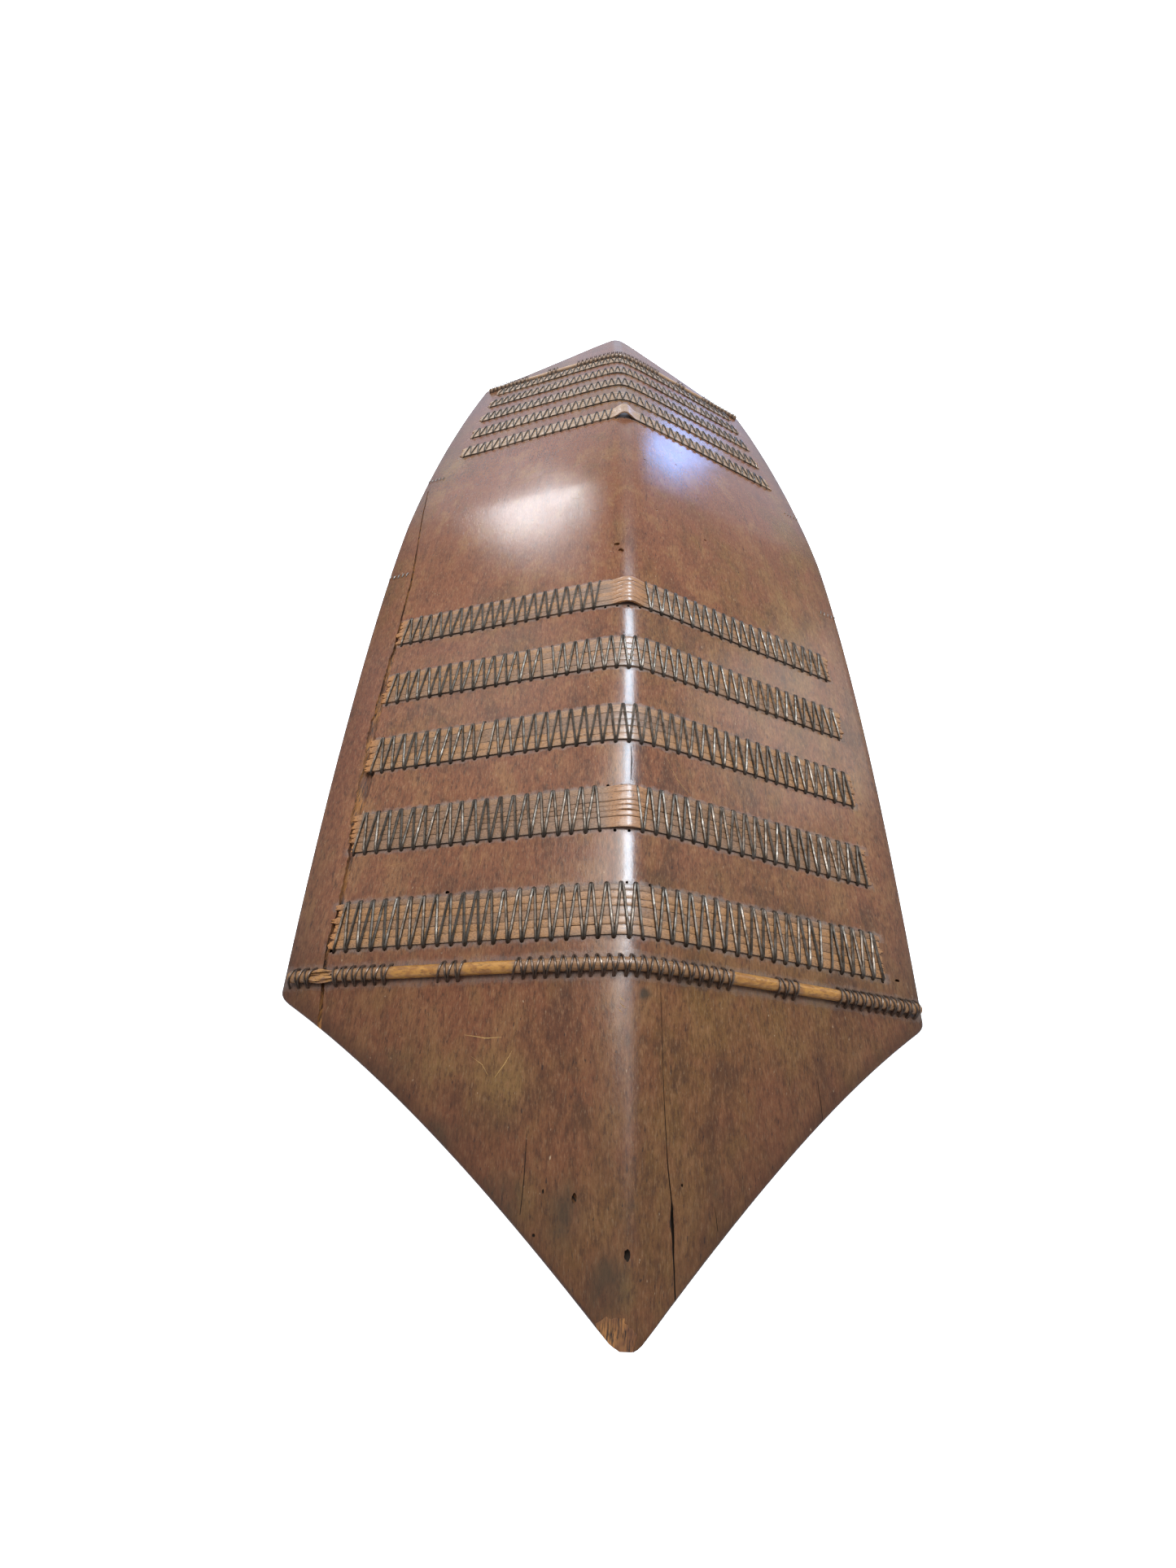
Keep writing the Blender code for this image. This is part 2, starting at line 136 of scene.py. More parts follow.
# The block whose underside breaks the chip off the near tip
CHIP_BLOCK = 0.030
CHIP_CORNER = (0.0045, -0.5942)
CHIP_TURN = (math.radians(25), math.radians(-1.5), math.radians(-17))

# Short rows of stitches at the long edges: their place along Y, how many stitches, steps round a stitch
STITCH_LINES = {"near": -0.086, "far": 0.101}
STITCH_COUNT = 5
STITCH_STEPS = 8

# The marks on the board are in mm
# The long split down the left side: x, y, width
LONG_SPLIT = (
    (-172.4, -478.5, 2.6), (-177, -452.5, 2.2), (-180, -435, 3), (-179.5, -419, 2.8),
    (-178.5, -404, 3.4), (-179.5, -388.5, 3.4), (-180.5, -372.5, 3.6), (-183, -356, 4.8),
    (-184.5, -342, 7), (-183.5, -322, 10), (-184.2, -306.5, 9.5), (-187, -290, 7.2), (-190, -275.5, 6.2),
    (-190.3, -260, 7), (-190.5, -246, 6.2), (-191.2, -230, 4.4), (-191.5, -212.5, 4), (-191.5, -195, 4),
    (-191.5, -178, 2.6), (-193.5, -144, 1.8), (-194.5, -99, 2.1), (-200, -46, 1.4), (-207.5, 17, 1.2),
    (-214, 76, 0.8),
)
# Cracks of the near end: x, distance to the tip, width
END_CRACKS = (
    (
        (17.8, 139, 0.2), (18.3, 93, 0.3), (19.2, 70, 0.4), (20.8, 50, 0.6), (21, 45, 1.7),
        (21.3, 36, 1.3), (21.4, 30, 0.7), (21.6, 16, 0.6),
    ),
    ((-47.5, 74, 0.2), (-47.2, 56, 0.4), (-47.8, 43, 0.3)),
    ((43, 48, 0.2), (44, 39, 0.3)),
)
# Short splits elsewhere: points as x, y, width
SHORT_SPLITS = (
    ((1.5, -312, 0.4), (1.8, -325, 0.9), (1.2, -337, 0.4)),
    ((112, -515, 0.3), (112.4, -505, 0.5), (112.2, -496, 0.3)),
)
# Scratches down to raw wood: points as x, y, width. None of them joins another.
SCRATCHES = (
    ((-85, -482.2, 0.5), (-74, -483.8, 1), (-64.8, -483.6, 0.6)),
    ((-58.5, -490, 0.6), (-61.8, -496, 1), (-66.2, -502.2, 0.5)),
    ((-80, -492.5, 0.4), (-73.5, -496.2, 0.7), (-70, -501, 0.4)),
    ((-4.8, -465, 0.4), (-3.2, -466.2, 0.9), (-1.6, -467.5, 0.4)),
    ((-4.4, -468.2, 0.4), (-2.8, -469.4, 0.9), (-1, -470.6, 0.4)),
    ((-5.6, -470.6, 0.4), (-4.2, -471.7, 0.8), (-2.8, -472.8, 0.4)),
    ((25.6, -312.6, 0.4), (33, -329, 0.9), (44.3, -340.2, 0.4)),
    ((-116.5, 48, 0.5), (-94, 56, 1.1), (-61, 53.5, 0.5)),
    ((-108, 35, 0.4), (-80, 43, 0.8), (-56, 40, 0.4)),
    ((-52, -20, 0.3), (-47.5, -23.2, 0.8), (-43, -24, 0.3)),
    ((-35, -45.5, 0.3), (-29, -51.5, 0.8), (-21, -54, 0.4)),
    ((38, 86, 0.3), (44, 89, 0.7), (46, 97, 0.3)),
    ((85, -42, 0.3), (100, -52, 0.6), (118, -56, 0.3)),
    ((88, -30, 0.3), (104, -40, 0.5), (112, -48, 0.3)),
    ((-90, -390, 0.3), (-89, -384, 0.6), (-89.5, -378, 0.3)),
    ((-165, -383, 0.3), (-148, -381, 0.5), (-130, -380.5, 0.3)),
)
# Pits: x, y, size along x, size along y, depth
PITS = (
    (-9.5, -106, 5, 4.2, 1.6), (-6, -115, 4.6, 6, 1.8), (77, -54, 3, 2.4, 1.2), (19.5, 51, 4.2, 2.2, 1),
    (56.5, 78, 3, 1.8, 0.9), (28.5, -40.5, 2.4, 2, 0.7), (100, 455, 3.6, 3, 1.2),
    (77, -301, 2.2, 1.2, 0.6), (-124, -220, 2, 1.6, 0.6),
)
# Holes and deep dark pits: x, y, size along x, size along y, depth, 30 being right through
HOLES = (
    (0, -569, 2.8, 4.6, 30), (-23.7, -550, 2, 4.2, 30), (181.5, 346, 2.4, 8, 5),
    (188.5, 285.5, 3, 3.4, 5), (-177.5, -433.5, 3.6, 3, 5), (188.5, -432.5, 4, 1.8, 4),
    (-1, -404, 1.6, 1.6, 4), (-107.8, -402.8, 2.6, 1.8, 4), (26.5, -544, 1, 1.2, 2),
    (-38, -548, 0.9, 1.8, 2), (-41, -564, 1.4, 1.4, 2),
)
# Soft stains painted on the board: x, y, reach along x, reach along y, and the strength as a share
STAINS = {
    "dark": (
        (-8.5, -580, 14, 15, 0.6), (-28, -556, 11, 18, 0.5), (2, -551, 4, 2.6, 0.7),
        (-12, -535, 10, 20, 0.3), (44, -544, 5, 9, 0.6), (87, -381, 2, 9, 0.95),
        (8.5, -463, 4, 3.5, 0.8), (0, -485, 5, 6, 0.45), (-150, -300, 25, 18, 0.25),
        (170, 60, 30, 60, 0.3), (-165, -485, 13, 12, 0.35), (-10, -70, 6, 50, 0.35),
        (25, -80, 10, 50, 0.25), (-59, -522, 13, 8, 0.5), (-130, -499, 30, 14, 0.42),
        (-90, -527, 22, 13, 0.42), (-56, -552, 16, 14, 0.45), (70, -505, 6, 12, 0.3),
        (150, -115, 10, 10, 0.3), (-178, -90, 6, 30, 0.4),
    ),
    "ochre": (
        (0, -581, 5, 10, 0.7), (-45, -548, 8, 16, 0.6), (-100, -500, 40, 20, 0.5),
        (-50, -490, 30, 30, 0.35), (55, -530, 12, 18, 0.4), (120, -480, 35, 20, 0.35),
        (-6, -85, 8, 30, 0.6), (190, -300, 20, 60, 0.45), (-195, 120, 20, 100, 0.45),
        (150, -90, 15, 70, 0.45), (195, 120, 20, 90, 0.45), (-200, -380, 12, 50, 0.35),
        (15, -550, 6, 18, 0.4), (-62, -506, 26, 22, 0.8), (-30, -495, 30, 12, 0.4),
    ),
    "red": (
        (-150, -195, 30, 8, 0.8), (-90, -196, 50, 10, 0.55), (-120, -265, 30, 9, 0.4),
        (90, -20, 50, 40, 0.45), (130, -230, 40, 50, 0.35), (-30, -385, 50, 8, 0.55),
        (13, -500, 6, 30, 0.5), (-204, -260, 14, 140, 0.8), (0, -595, 20, 6, 0.3),
    ),
}


def length_of(name, description, default):
    """A length that the panel shows."""
    return FloatProperty(
        name=name, description=description, default=default, min=0, precision=4, unit="LENGTH"
    )


def colour_of(name, description, default):
    """A colour that the panel shows."""
    return FloatVectorProperty(
        name=name, description=description, default=default, size=3, min=0, max=1, subtype="COLOR"
    )


class ShieldBoardSettings(bpy.types.PropertyGroup):
    """Sizes and colours of the carved board"""

    length: length_of("Length", "From tip to tip", BOARD_HIGH.y - BOARD_LOW.y)
    width_middle: length_of("Width at the middle", "The board's greatest width", BOARD_HIGH.x - BOARD_LOW.x)
    width_shoulder: length_of("Width at the shoulders", "Where the ends begin", 0.408)
    shoulder_span: length_of("Shoulder span", "From one pair of shoulders to the other", 0.920)
    end_edge_sag: length_of("Sag of the end edges", "How far they curve inwards", 0.0095)
    corner_softening: length_of("Softening of the corners", "Reach of the round at a shoulder", 0.007)
    tip_rounding: length_of("Rounding of the tips", "Length of the rounded tip", 0.004)
    edge_rounding: length_of("Rounding of the rim", "Radius of the worn edge", 0.0024)
    side_slope: FloatProperty(
        name="Slope of the sides", description="Fall of the face on both sides of the ridge",
        default=math.radians(19.1), subtype="ANGLE",
    )
    ridge_radius: length_of("Radius of the ridge", "How sharply the ridge is rounded", 0.012)
    bow_drop: length_of("Bow", "How far the tips lie below the middle of the ridge", 0.061)
    bow_power: FloatProperty(
        name="Bow power", description="How the bow gathers towards the tips", default=1.5
    )
    thickness_ridge: length_of("Thickness at the ridge", "Of the wood", 0.012)
    thickness_edge: length_of("Thickness at the edge", "Of the wood", 0.007)
    grip_length: length_of("Grip length", "Of the bar on the back", 0.150)
    grip_width: length_of("Grip width", "Of the bar on the back", 0.030)
    grip_depth: length_of("Grip depth", "Of the bar on the back", 0.022)
    finger_gap: length_of("Finger gap", "Between the bar and the board", 0.034)
    red_brown: colour_of("Red brown", "The patina's main colour", (0.162, 0.056, 0.025))
    olive_brown: colour_of("Olive brown", "Where the patina is thin", (0.138, 0.065, 0.019))
    dark_brown: colour_of("Dark brown", "Deep patina in the grain", (0.040, 0.017, 0.010))
    raw_wood: colour_of("Raw wood", "In splits and chips", (0.270, 0.110, 0.028))
    grime: colour_of("Grime", "Grey dirt along bands and canes", (0.175, 0.150, 0.130))


class ShieldBandSettings(bpy.types.PropertyGroup):
    """Sizes and colours of the rattan bands and their lacing"""

    middle_field: length_of("Bare middle", "Between the two inmost bands", 0.334)
    to_shoulder: length_of("First band to shoulder", "Distance along the board", 0.0405)
    width: length_of("Band width", "Of all its strips together", 0.028)
    thickness: length_of("Strip thickness", "Of the split rattan", 0.0017)
    edge_inset: length_of("Inset of the bands", "From the board's long edge", 0.0275)
    turns: IntProperty(name="Turns", description="Turns of the wire from the ridge to one side", default=42)
    laced_share: FloatProperty(name="Laced share", description="Of the board's half width", default=0.852)
    hole_gap: length_of("Hole gap", "From the band's edge to the row of holes", 0.0013)
    hole: length_of("Hole", "Width of a hole for the wire", 0.0021)
    wire: length_of("Wire", "Its diameter", 0.00175)
    pink_tan: colour_of("Pink tan", "Weathered strips", (0.190, 0.094, 0.044))
    ochre: colour_of("Ochre", "Cleaner strips", (0.290, 0.135, 0.050))
    dusty: colour_of("Dusty", "Grime on the strips", (0.130, 0.094, 0.070))
    fresh: colour_of("Fresh", "Broken ends of the strips", (0.330, 0.135, 0.040))
    steel: colour_of("Wire", "Dull grey wire", (0.170, 0.138, 0.112))


class ShieldCaneSettings(bpy.types.PropertyGroup):
    """Sizes and colours of the canes, their wire and the stitches"""

    diameter: length_of("Cane", "Its diameter", 0.007)
    near_to_band: length_of("Near cane", "Distance from the first near band", 0.0298)
    far_to_band: length_of("Far cane", "Distance from the first far band", 0.0218)
    wire: length_of("Wire", "Its diameter", 0.0013)
    pitch: length_of("Pitch", "From one turn of the wire to the next", 0.0061)
    overhang: length_of("Overhang", "From the cane to the holes", 0.0022)
    stitch_length: length_of("Stitch", "Its length", 0.0042)
    stitch_pitch: length_of("Stitch pitch", "From one stitch to the next", 0.0042)
    stitch_wire: length_of("Stitch wire", "Its diameter", 0.0008)
    skin: colour_of("Cane", "Clean skin of the cane", (0.340, 0.155, 0.032))
    bronze: colour_of("Cane wire", "Tarnished brown wire", (0.200, 0.145, 0.110))
    pale: colour_of("Stitch wire", "Pale grey wire", (0.330, 0.290, 0.255))


class ShieldStageSettings(bpy.types.PropertyGroup):
    """The floor and the lights"""

    floor_size: length_of("Floor", "Its side", 60.0)
    floor_colour: colour_of("Floor colour", "Pale and plain", (0.86, 0.86, 0.86))
    floor_glow: FloatProperty(name="Floor glow", description="Keeps the floor white", default=0.80)
    sky: FloatProperty(name="Sky", description="Brightness of the room", default=0.38)


def clamp(value, low=0, high=1):
    return min(max(value, low), high)


def stretched(share, low, high):
    return low + (high - low) * share


def in_metres(rows):
    return [tuple(value / 1000 for value in row) for row in rows]


def wave(x, y, z):
    """A smooth noise from -1 to 1."""
    return noise.noise(Vector((x, y, z)))


class Form:
    """The carved board and the places of what is laced to it, worked out from the sizes in the panel."""

    def __init__(self, scene):
        noise.seed_set(NOISE_SEED)
        self.board = scene.shield_board
        self.bands = scene.shield_bands
        self.canes = scene.shield_cane
        self.ridge_top = BOARD_HIGH.z
        self.half_length = self.board.length / 2
        self.middle = self.board.width_middle / 2
        self.corner = self.board.width_shoulder / 2
        self.shoulder = self.board.shoulder_span / 2
        self.rounding = self.board.edge_rounding
        self.slope = math.tan(self.board.side_slope)
        self.apex = self.half_length + self.board.tip_rounding
        self.bend = 4 * self.board.end_edge_sag / self.corner**2
        self.fall = (self.apex - self.shoulder) / self.corner + self.bend * self.corner
        self.reach = self.bands.width / 2 + self.bands.hole_gap
        self.turns = self.bands.turns
        self.outer = self.shoulder - self.bands.to_shoulder
        self.inner = self.bands.middle_field / 2
        self.spacing = (self.outer - self.inner) / (len(BAND_NUMBERS) - 1)
        self.cane_height = self.canes.diameter / 2 * CANE_HEIGHT

    def half_width(self, y):
        """Half the board's width: long bowed sides, then hollow end edges down to a round tip."""
        distance = abs(y)
        softening = self.board.corner_softening
        side = self.middle - (self.middle - self.corner) * (distance / self.shoulder) ** 2
        inside = max(self.fall**2 - 4 * self.bend * (self.apex - distance), 0)
        end = (self.fall - math.sqrt(inside)) / (2 * self.bend)
        overlap = max(softening - abs(side - end), 0) / softening
        width = min(side, end) - overlap**2 * softening / 4
        into_tip = clamp(1 - (self.half_length - distance) / self.board.tip_rounding)
        return width * (1 - TIP_NARROWING * into_tip**3)

    def drop(self, x, y):
        """How far the face lies below the ridge's top: by the bow, and by the slope beside the ridge."""
        radius = self.board.ridge_radius
        bow = self.board.bow_drop * (abs(y) / self.half_length) ** self.board.bow_power
        return bow + self.slope * (math.hypot(x, radius) - radius)

    def face(self, x, y):
        """Height of the upper face, with the slight waves that the carver's tools left."""
        broad = wave(x * 15, y * 6, 3.1) * 0.00035
        fine = wave(x * 60, y * 24, 7.7) * 0.00009
        return self.ridge_top - self.drop(x, y) + broad + fine

    def underside(self, x, y):
        """Height of the back, which is hewn more roughly and worn flat at the four corners."""
        share = min(abs(x) / self.half_width(y), 1)
        at_edge = self.board.thickness_edge
        thickness = at_edge + (self.board.thickness_ridge - at_edge) * (1 - share * share)
        hewn = wave(x * 40, y * 17, 11.3) * 0.0005
        return max(self.ridge_top - self.drop(x, y) - thickness + hewn, 0)

    def rounding_at(self, y):
        return min(self.rounding, 0.12 * self.half_width(y))

    def edge_fall(self, x, y):
        """How far the rounded rim lies below the face and above the underside."""
        across = (self.half_width(y) - abs(x)) / self.rounding_at(y)
        along = (self.half_length - abs(y)) / self.rounding
        into = clamp(1 - min(across, along))
        return self.rounding * (1 - math.sqrt(1 - into * into))

    def on_face(self, x, y, up=0.0):
        return Vector((x, y, self.face(x, y) + up))

    def line(self, number):
        """Distance of a band from the middle of the board."""
        return self.outer - self.spacing * (number - 1)

    def cane_line(self, end):
        """Place of a cane along the board."""
        return ENDS[end] * (self.line(1) + getattr(self.canes, f"{end}_to_band"))

    def hole(self, end, number, turn):
        """Place of a turn's hole: odd turns are on the band's far side, even ones on its near side."""
        y = ENDS[end] * self.line(number) + (self.reach if turn % 2 else -self.reach)
        x = self.bands.laced_share * self.half_width(y) * turn / self.turns
        shift = noise.noise_vector(Vector((turn * 1.37, number * 7.1, ENDS[end] * 13.3)))
        return x + shift.x * 0.0008, y + shift.y * 0.0007

    def runs(self, end, number):
        """The stretches of turns that still have their wire."""
        start = -self.turns
        for first, last in BARE_TURNS.get((end, number), ()):
            yield start, first
            start = last
        yield start, self.turns


def link(name, data):
    """Puts an object into the scene."""
    thing = bpy.data.objects.new(name, data)
    bpy.context.scene.collection.objects.link(thing)
    return thing


def to_mesh(shape, name="shape"):
    """Turns a bmesh into a mesh."""
    mesh = bpy.data.meshes.new(name)
    shape.to_mesh(mesh)
    shape.free()
    return mesh


def new_piece(name, mesh, materials, nodes):
    """Shows a mesh as a piece of the shield that stands for CAD nodes."""
    mesh.name = name
    piece = link(name, mesh)
    if not mesh.materials:
        for material in materials:
            mesh.materials.append(material)
    mesh.shade_smooth()
    mesh.set_sharp_from_angle(angle=SHARP_ANGLE)
    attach(piece, "root")
    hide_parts(*nodes)


def part_materials(mesh):
    """Makes the edges sharp where two materials meet, so that a cut doesn't shade the wood around it."""
    shape = bmesh.new()
    shape.from_mesh(mesh)
    for edge in shape.edges:
        if len({face.material_index for face in edge.link_faces}) > 1:
            edge.smooth = False
    shape.to_mesh(mesh)
    shape.free()


def give_material(shape, before, material):
    """Gives a material to the faces that have been added since there were so many."""
    shape.faces.ensure_lookup_table()
    for face in shape.faces[before:]:
        face.material_index = material


def add_sheet(shape, along, across, place):
    """A closed sheet in the bmesh. place(u, v, upper) gives a point for u, v from -1 to 1."""
    upper = bmesh.ops.create_grid(shape, x_segments=along, y_segments=across, size=1)["verts"]
    faces = list(dict.fromkeys(face for vert in upper for face in vert.link_faces))
    made = bmesh.ops.extrude_face_region(shape, geom=faces)["geom"]
    lower = [item for item in made if isinstance(item, bmesh.types.BMVert)]
    for verts, is_upper in ((upper, True), (lower, False)):
        for vert in verts:
            vert.co = place(vert.co.x, vert.co.y, is_upper)
    return upper + lower


def bevel(shape, geom, width, segments, affect="EDGES"):
    """Bevels edges or vertices, and gives the new faces."""
    made = bmesh.ops.bevel(
        shape, geom=geom, offset=width, offset_type="OFFSET", segments=segments, profile=0.5,
        affect=affect, material=-1,
    )
    return made["faces"]


def wire_shape(paths, diameter, sides):
    """Round wires with closed ends through lists of points, each with its share of the thickness."""
    curve = bpy.data.curves.new("wire", "CURVE")
    curve.dimensions = "3D"
    curve.bevel_depth = diameter / 2
    curve.bevel_resolution = sides // 2 - 2
    curve.use_fill_caps = True
    for path in paths:
        spline = curve.splines.new("POLY")
        spline.points.add(len(path) - 1)
        for point, (place, share) in zip(spline.points, path):
            point.co = (*place, 1)
            point.radius = share
    holder = link("wire", curve)
    graph = bpy.context.evaluated_depsgraph_get()
    mesh = bpy.data.meshes.new_from_object(holder.evaluated_get(graph))
    bpy.data.objects.remove(holder)
    bpy.data.curves.remove(curve)
    shape = bmesh.new()
    shape.from_mesh(mesh)
    bpy.data.meshes.remove(mesh)
    bmesh.ops.remove_doubles(shape, verts=shape.verts, dist=0.00002)
    bmesh.ops.recalc_face_normals(shape, faces=shape.faces)
    return shape


class Paint:
    """The nodes of one material, added one by one."""

    def __init__(self, name):
        self.material = bpy.data.materials.new(name)
        self.material.use_nodes = True
        self.tree = self.material.node_tree
        self.shader = self.tree.nodes["Principled BSDF"]
        self.coordinates = self.add("ShaderNodeTexCoord").outputs["Object"]

    def put(self, socket, value):
        """Links a socket to the value of another one, or sets it."""
        if isinstance(value, bpy.types.NodeSocket):
            self.tree.links.new(value, socket)
        elif value is not None:
            socket.default_value = value

    def add(self, kind, inputs=(), **options):
        node = self.tree.nodes.new(kind)
        for key, value in options.items():
            setattr(node, key, value)
        for key, value in dict(inputs).items():
            self.put(node.inputs[key], value)
        return node

    def axis(self, name):
        return self.add("ShaderNodeSeparateXYZ", {"Vector": self.coordinates}).outputs[name]

    def noise(self, scale, detail=4, roughness=0.55, distortion=0.0):
        """A noise from 0 to 1. Three scales stretch it along the axes."""
        stretch = self.add("ShaderNodeMapping", {"Vector": self.coordinates, "Scale": scale}).outputs[0]
        inputs = {"Vector": stretch, "Scale": 1.0, "Detail": detail, "Roughness": roughness}
        return self.add("ShaderNodeTexNoise", {**inputs, "Distortion": distortion}).outputs["Fac"]

    def attribute(self, name):
        return self.add("ShaderNodeAttribute", attribute_name=name).outputs["Fac"]

    def step(self, value, low, high, bottom=0.0, top=1.0):
        """A smooth rise from bottom to top as the value goes from low to high."""
        inputs = {"Value": value, "From Min": low, "From Max": high, "To Min": bottom, "To Max": top}
        return self.add("ShaderNodeMapRange", inputs, interpolation_type="SMOOTHSTEP").outputs[0]

    def cover(self, value, start, full, share):
        """A share that rises from nothing as the value goes from start to full."""
        return self.step(value, start, full, 0.0, share)

    def sums(self, operation, first, second=0.0, third=0.0):
        return self.add("ShaderNodeMath", {0: first, 1: second, 2: third}, operation=operation).outputs[0]

    def times(self, first, second):
        return self.sums("MULTIPLY", first, second)

    def scaled(self, value, factor, more):
        return self.sums("MULTIPLY_ADD", value, factor, more)

    def size_of(self, value):
        return self.sums("ABSOLUTE", value)

    def layers(self, colour, *rows):
        """Lays colours over one another. A row holds the share of a colour, and the colour."""
        for share, tint in rows:
            node = self.add("ShaderNodeMix", {0: share, 7: (*tint, 1)}, data_type="RGBA")
            self.put(node.inputs[6], colour if isinstance(colour, bpy.types.NodeSocket) else (*colour, 1))
            colour = node.outputs[2]
        return colour

    def bump(self, height, distance, strength=1.0, normal=None):
        inputs = {"Height": height, "Distance": distance, "Strength": strength}
        if normal:
            inputs["Normal"] = normal
        return self.add("ShaderNodeBump", inputs).outputs[0]

    def finish(self, colour, roughness, normal, **others):
        """Joins the results to the shader. What is the same all over is set on its sockets."""
        for key, value in {"base_color": colour, "roughness": roughness, "normal": normal, **others}.items():
            self.put(self.shader.inputs[key.replace("_", " ").title().replace("Ior", "IOR")], value)
        return self.material


def grime_share(paint, form):
    """How dirty the wood is: along the edges of each band, with a scallop at each hole, and by the canes."""
    sums = paint.sums
    along = paint.axis("Y")
    distance = paint.size_of(along)
    number = sums("DIVIDE", sums("SUBTRACT", distance, form.inner), form.spacing)
    nearest = sums("MINIMUM", sums("MAXIMUM", sums("ROUND", number), 0.0), len(BAND_NUMBERS) - 1)
    away = paint.size_of(sums("SUBTRACT", distance, paint.scaled(nearest, form.spacing, form.inner)))
    wobble = paint.noise((160, 160, 160), 3)
    step = paint.attribute("step")
    scallop = paint.size_of(sums("SINE", paint.times(step, math.pi / 2)))
    wander = paint.scaled(wobble, -0.0050, paint.times(scallop, 0.0010))
    edge = form.bands.width / 2
    beside = paint.step(sums("ADD", away, wander), edge - 0.0020, edge + 0.0020, 1.0, 0.0)
    beside = paint.times(beside, paint.step(away, edge - 0.0050, edge - 0.0030))
    laced = paint.step(paint.size_of(step), form.turns + 0.4, form.turns + 2.2, 1.0, 0.0)
    near, far = (paint.size_of(sums("SUBTRACT", along, form.cane_line(end))) for end in ENDS)
    by_cane = paint.scaled(wobble, -0.0050, sums("MINIMUM", near, far))
    foot = form.canes.diameter / 2 + form.canes.overhang
    round_cane = paint.step(by_cane, foot - 0.0036, foot + 0.0006, 0.55, 0.0)
    both = sums("MAXIMUM", paint.times(beside, laced), round_cane)
    return paint.times(both, paint.step(paint.noise((520, 520, 520), 5), 0.30, 0.62, 0.45, 1.0))


def ragged(paint, name, texture, top):
    """The share of a painted stain, with an edge that the texture breaks up."""
    value = paint.times(paint.scaled(texture, 5.4, -0.6), paint.attribute(name))
    return paint.cover(value, 0.35, 1.75, top)


def wood_material(form):
    """Old polished wood: short grain along Y, a patchy red and olive patina, stains, flecks and grime."""
    paint = Paint("patinated wood")
    cover = paint.cover
    board = form.board
    dark = board.dark_brown
    along = paint.axis("Y")
    patches = paint.noise((9, 6, 9), 3)
    clouds = paint.noise((62, 40, 62), 4, 0.6, 0.6)
    mottle = paint.noise((48, 26, 48), 5, 0.65, 0.4)
    streaks = paint.noise((190, 9, 190), 4, 0.6, 0.3)
    fibre = paint.noise((430, 150, 430), 6, 0.75)
    lines = paint.noise((900, 75, 900), 3, 0.6)
    grain = paint.noise((1500, 230, 1500), 3, 0.6)
    flecks = paint.noise((520, 190, 520), 2)
    pores = paint.noise((1000, 150, 1000), 2)
    near = paint.step(along, -0.30, 0.05, 1.0, 0.30)
    field = paint.times(paint.step(along, -0.46, -0.42), paint.step(along, -0.14, -0.20))
    dirt = grime_share(paint, form)
    colour = paint.layers(
        board.red_brown,
        (paint.step(paint.scaled(clouds, 0.6, patches), 0.71, 1.15), board.olive_brown),
        (cover(mottle, 0.50, 0.66, 0.42), (0.225, 0.110, 0.042)),
        (paint.times(near, cover(mottle, 0.50, 0.34, 0.52)), dark),
        (cover(streaks, 0.48, 0.34, 0.24), dark),
        (ragged(paint, "red", mottle, 0.75), (0.140, 0.043, 0.021)),
        (ragged(paint, "ochre", mottle, 0.80), (0.190, 0.105, 0.034)),
        (paint.times(near, cover(fibre, 0.50, 0.34, 0.68)), dark),
        (paint.times(near, cover(fibre, 0.51, 0.66, 0.42)), (0.285, 0.130, 0.058)),
        (cover(lines, 0.46, 0.32, 0.40), dark),
        (cover(grain, 0.46, 0.32, 0.45), (0.060, 0.026, 0.016)),
        (cover(grain, 0.54, 0.70, 0.38), (0.270, 0.165, 0.090)),
        # Painted shade from the shade attribute: darker near end, rim and near end's sides
        (paint.attribute("shade"), (0.040, 0.017, 0.009)),
        (cover(flecks, 0.72, 0.79, 0.70), (0.340, 0.230, 0.140)),
        (cover(pores, 0.33, 0.27, 0.75), (0.018, 0.011, 0.009)),
        (ragged(paint, "dark", mottle, 0.85), (0.034, 0.023, 0.014)),
        (paint.times(field, 0.06), board.grime),
        (paint.times(dirt, 0.50), board.grime),
    )
    rough = paint.scaled(dirt, 0.35, paint.step(paint.noise((26, 14, 26), 5, 0.6), 0.30, 0.70, 0.200, 0.250))
    fine = paint.bump(grain, 0.00010, 0.45)
    nicks = paint.bump(paint.noise((240, 90, 240), 5, 0.7), 0.00030, 0.35, fine)
    dust = paint.bump(paint.times(dirt, paint.noise((900, 900, 900), 3)), 0.0004, 0.7, nicks)
    rubbed = paint.step(paint.size_of(paint.axis("X")), 0.003, 0.010, 1.0, 0.0)
    polish = paint.times(rubbed, paint.step(mottle, 0.30, 0.60, 0.32, 0.52))
    polish = paint.times(polish, paint.step(along, -0.50, -0.42, 0.15, 1.0))
    return paint.finish(
        colour, rough, dust, coat_weight=polish, specular_ior_level=0.36, coat_roughness=0.19
    )


def raw_wood_material(board):
    """Torn fibres in splits and in the chip: gold and orange with dark gaps, along Y."""
    paint = Paint("raw split wood")
    fibres = paint.noise((1500, 110, 260), 4, 0.7, 0.5)
    colour = paint.layers(
        board.raw_wood,
        (paint.step(paint.noise((130, 50, 130), 3), 0.35, 0.65), (0.110, 0.038, 0.014)),
        (paint.cover(fibres, 0.60, 0.78, 0.6), (0.400, 0.200, 0.065)),
        (paint.cover(fibres, 0.52, 0.38, 0.94), (0.016, 0.008, 0.005)),
    )
    return paint.finish(colour, 0.72, paint.bump(fibres, 0.0006, 0.9))


def bore_material():
    """The inside of holes and cracks, painted near black as their shade."""
    paint = Paint("dark hole")
    painted_shade_mottle = paint.noise((900, 900, 900), 3)
    # Near-black painted shade, with a slightly lighter mottle
    colour = paint.layers((0.008, 0.006, 0.004), (painted_shade_mottle, (0.030, 0.018, 0.011)))
    return paint.finish(colour, 0.85, paint.bump(painted_shade_mottle, 0.0003, 0.6), specular_ior_level=0.2)


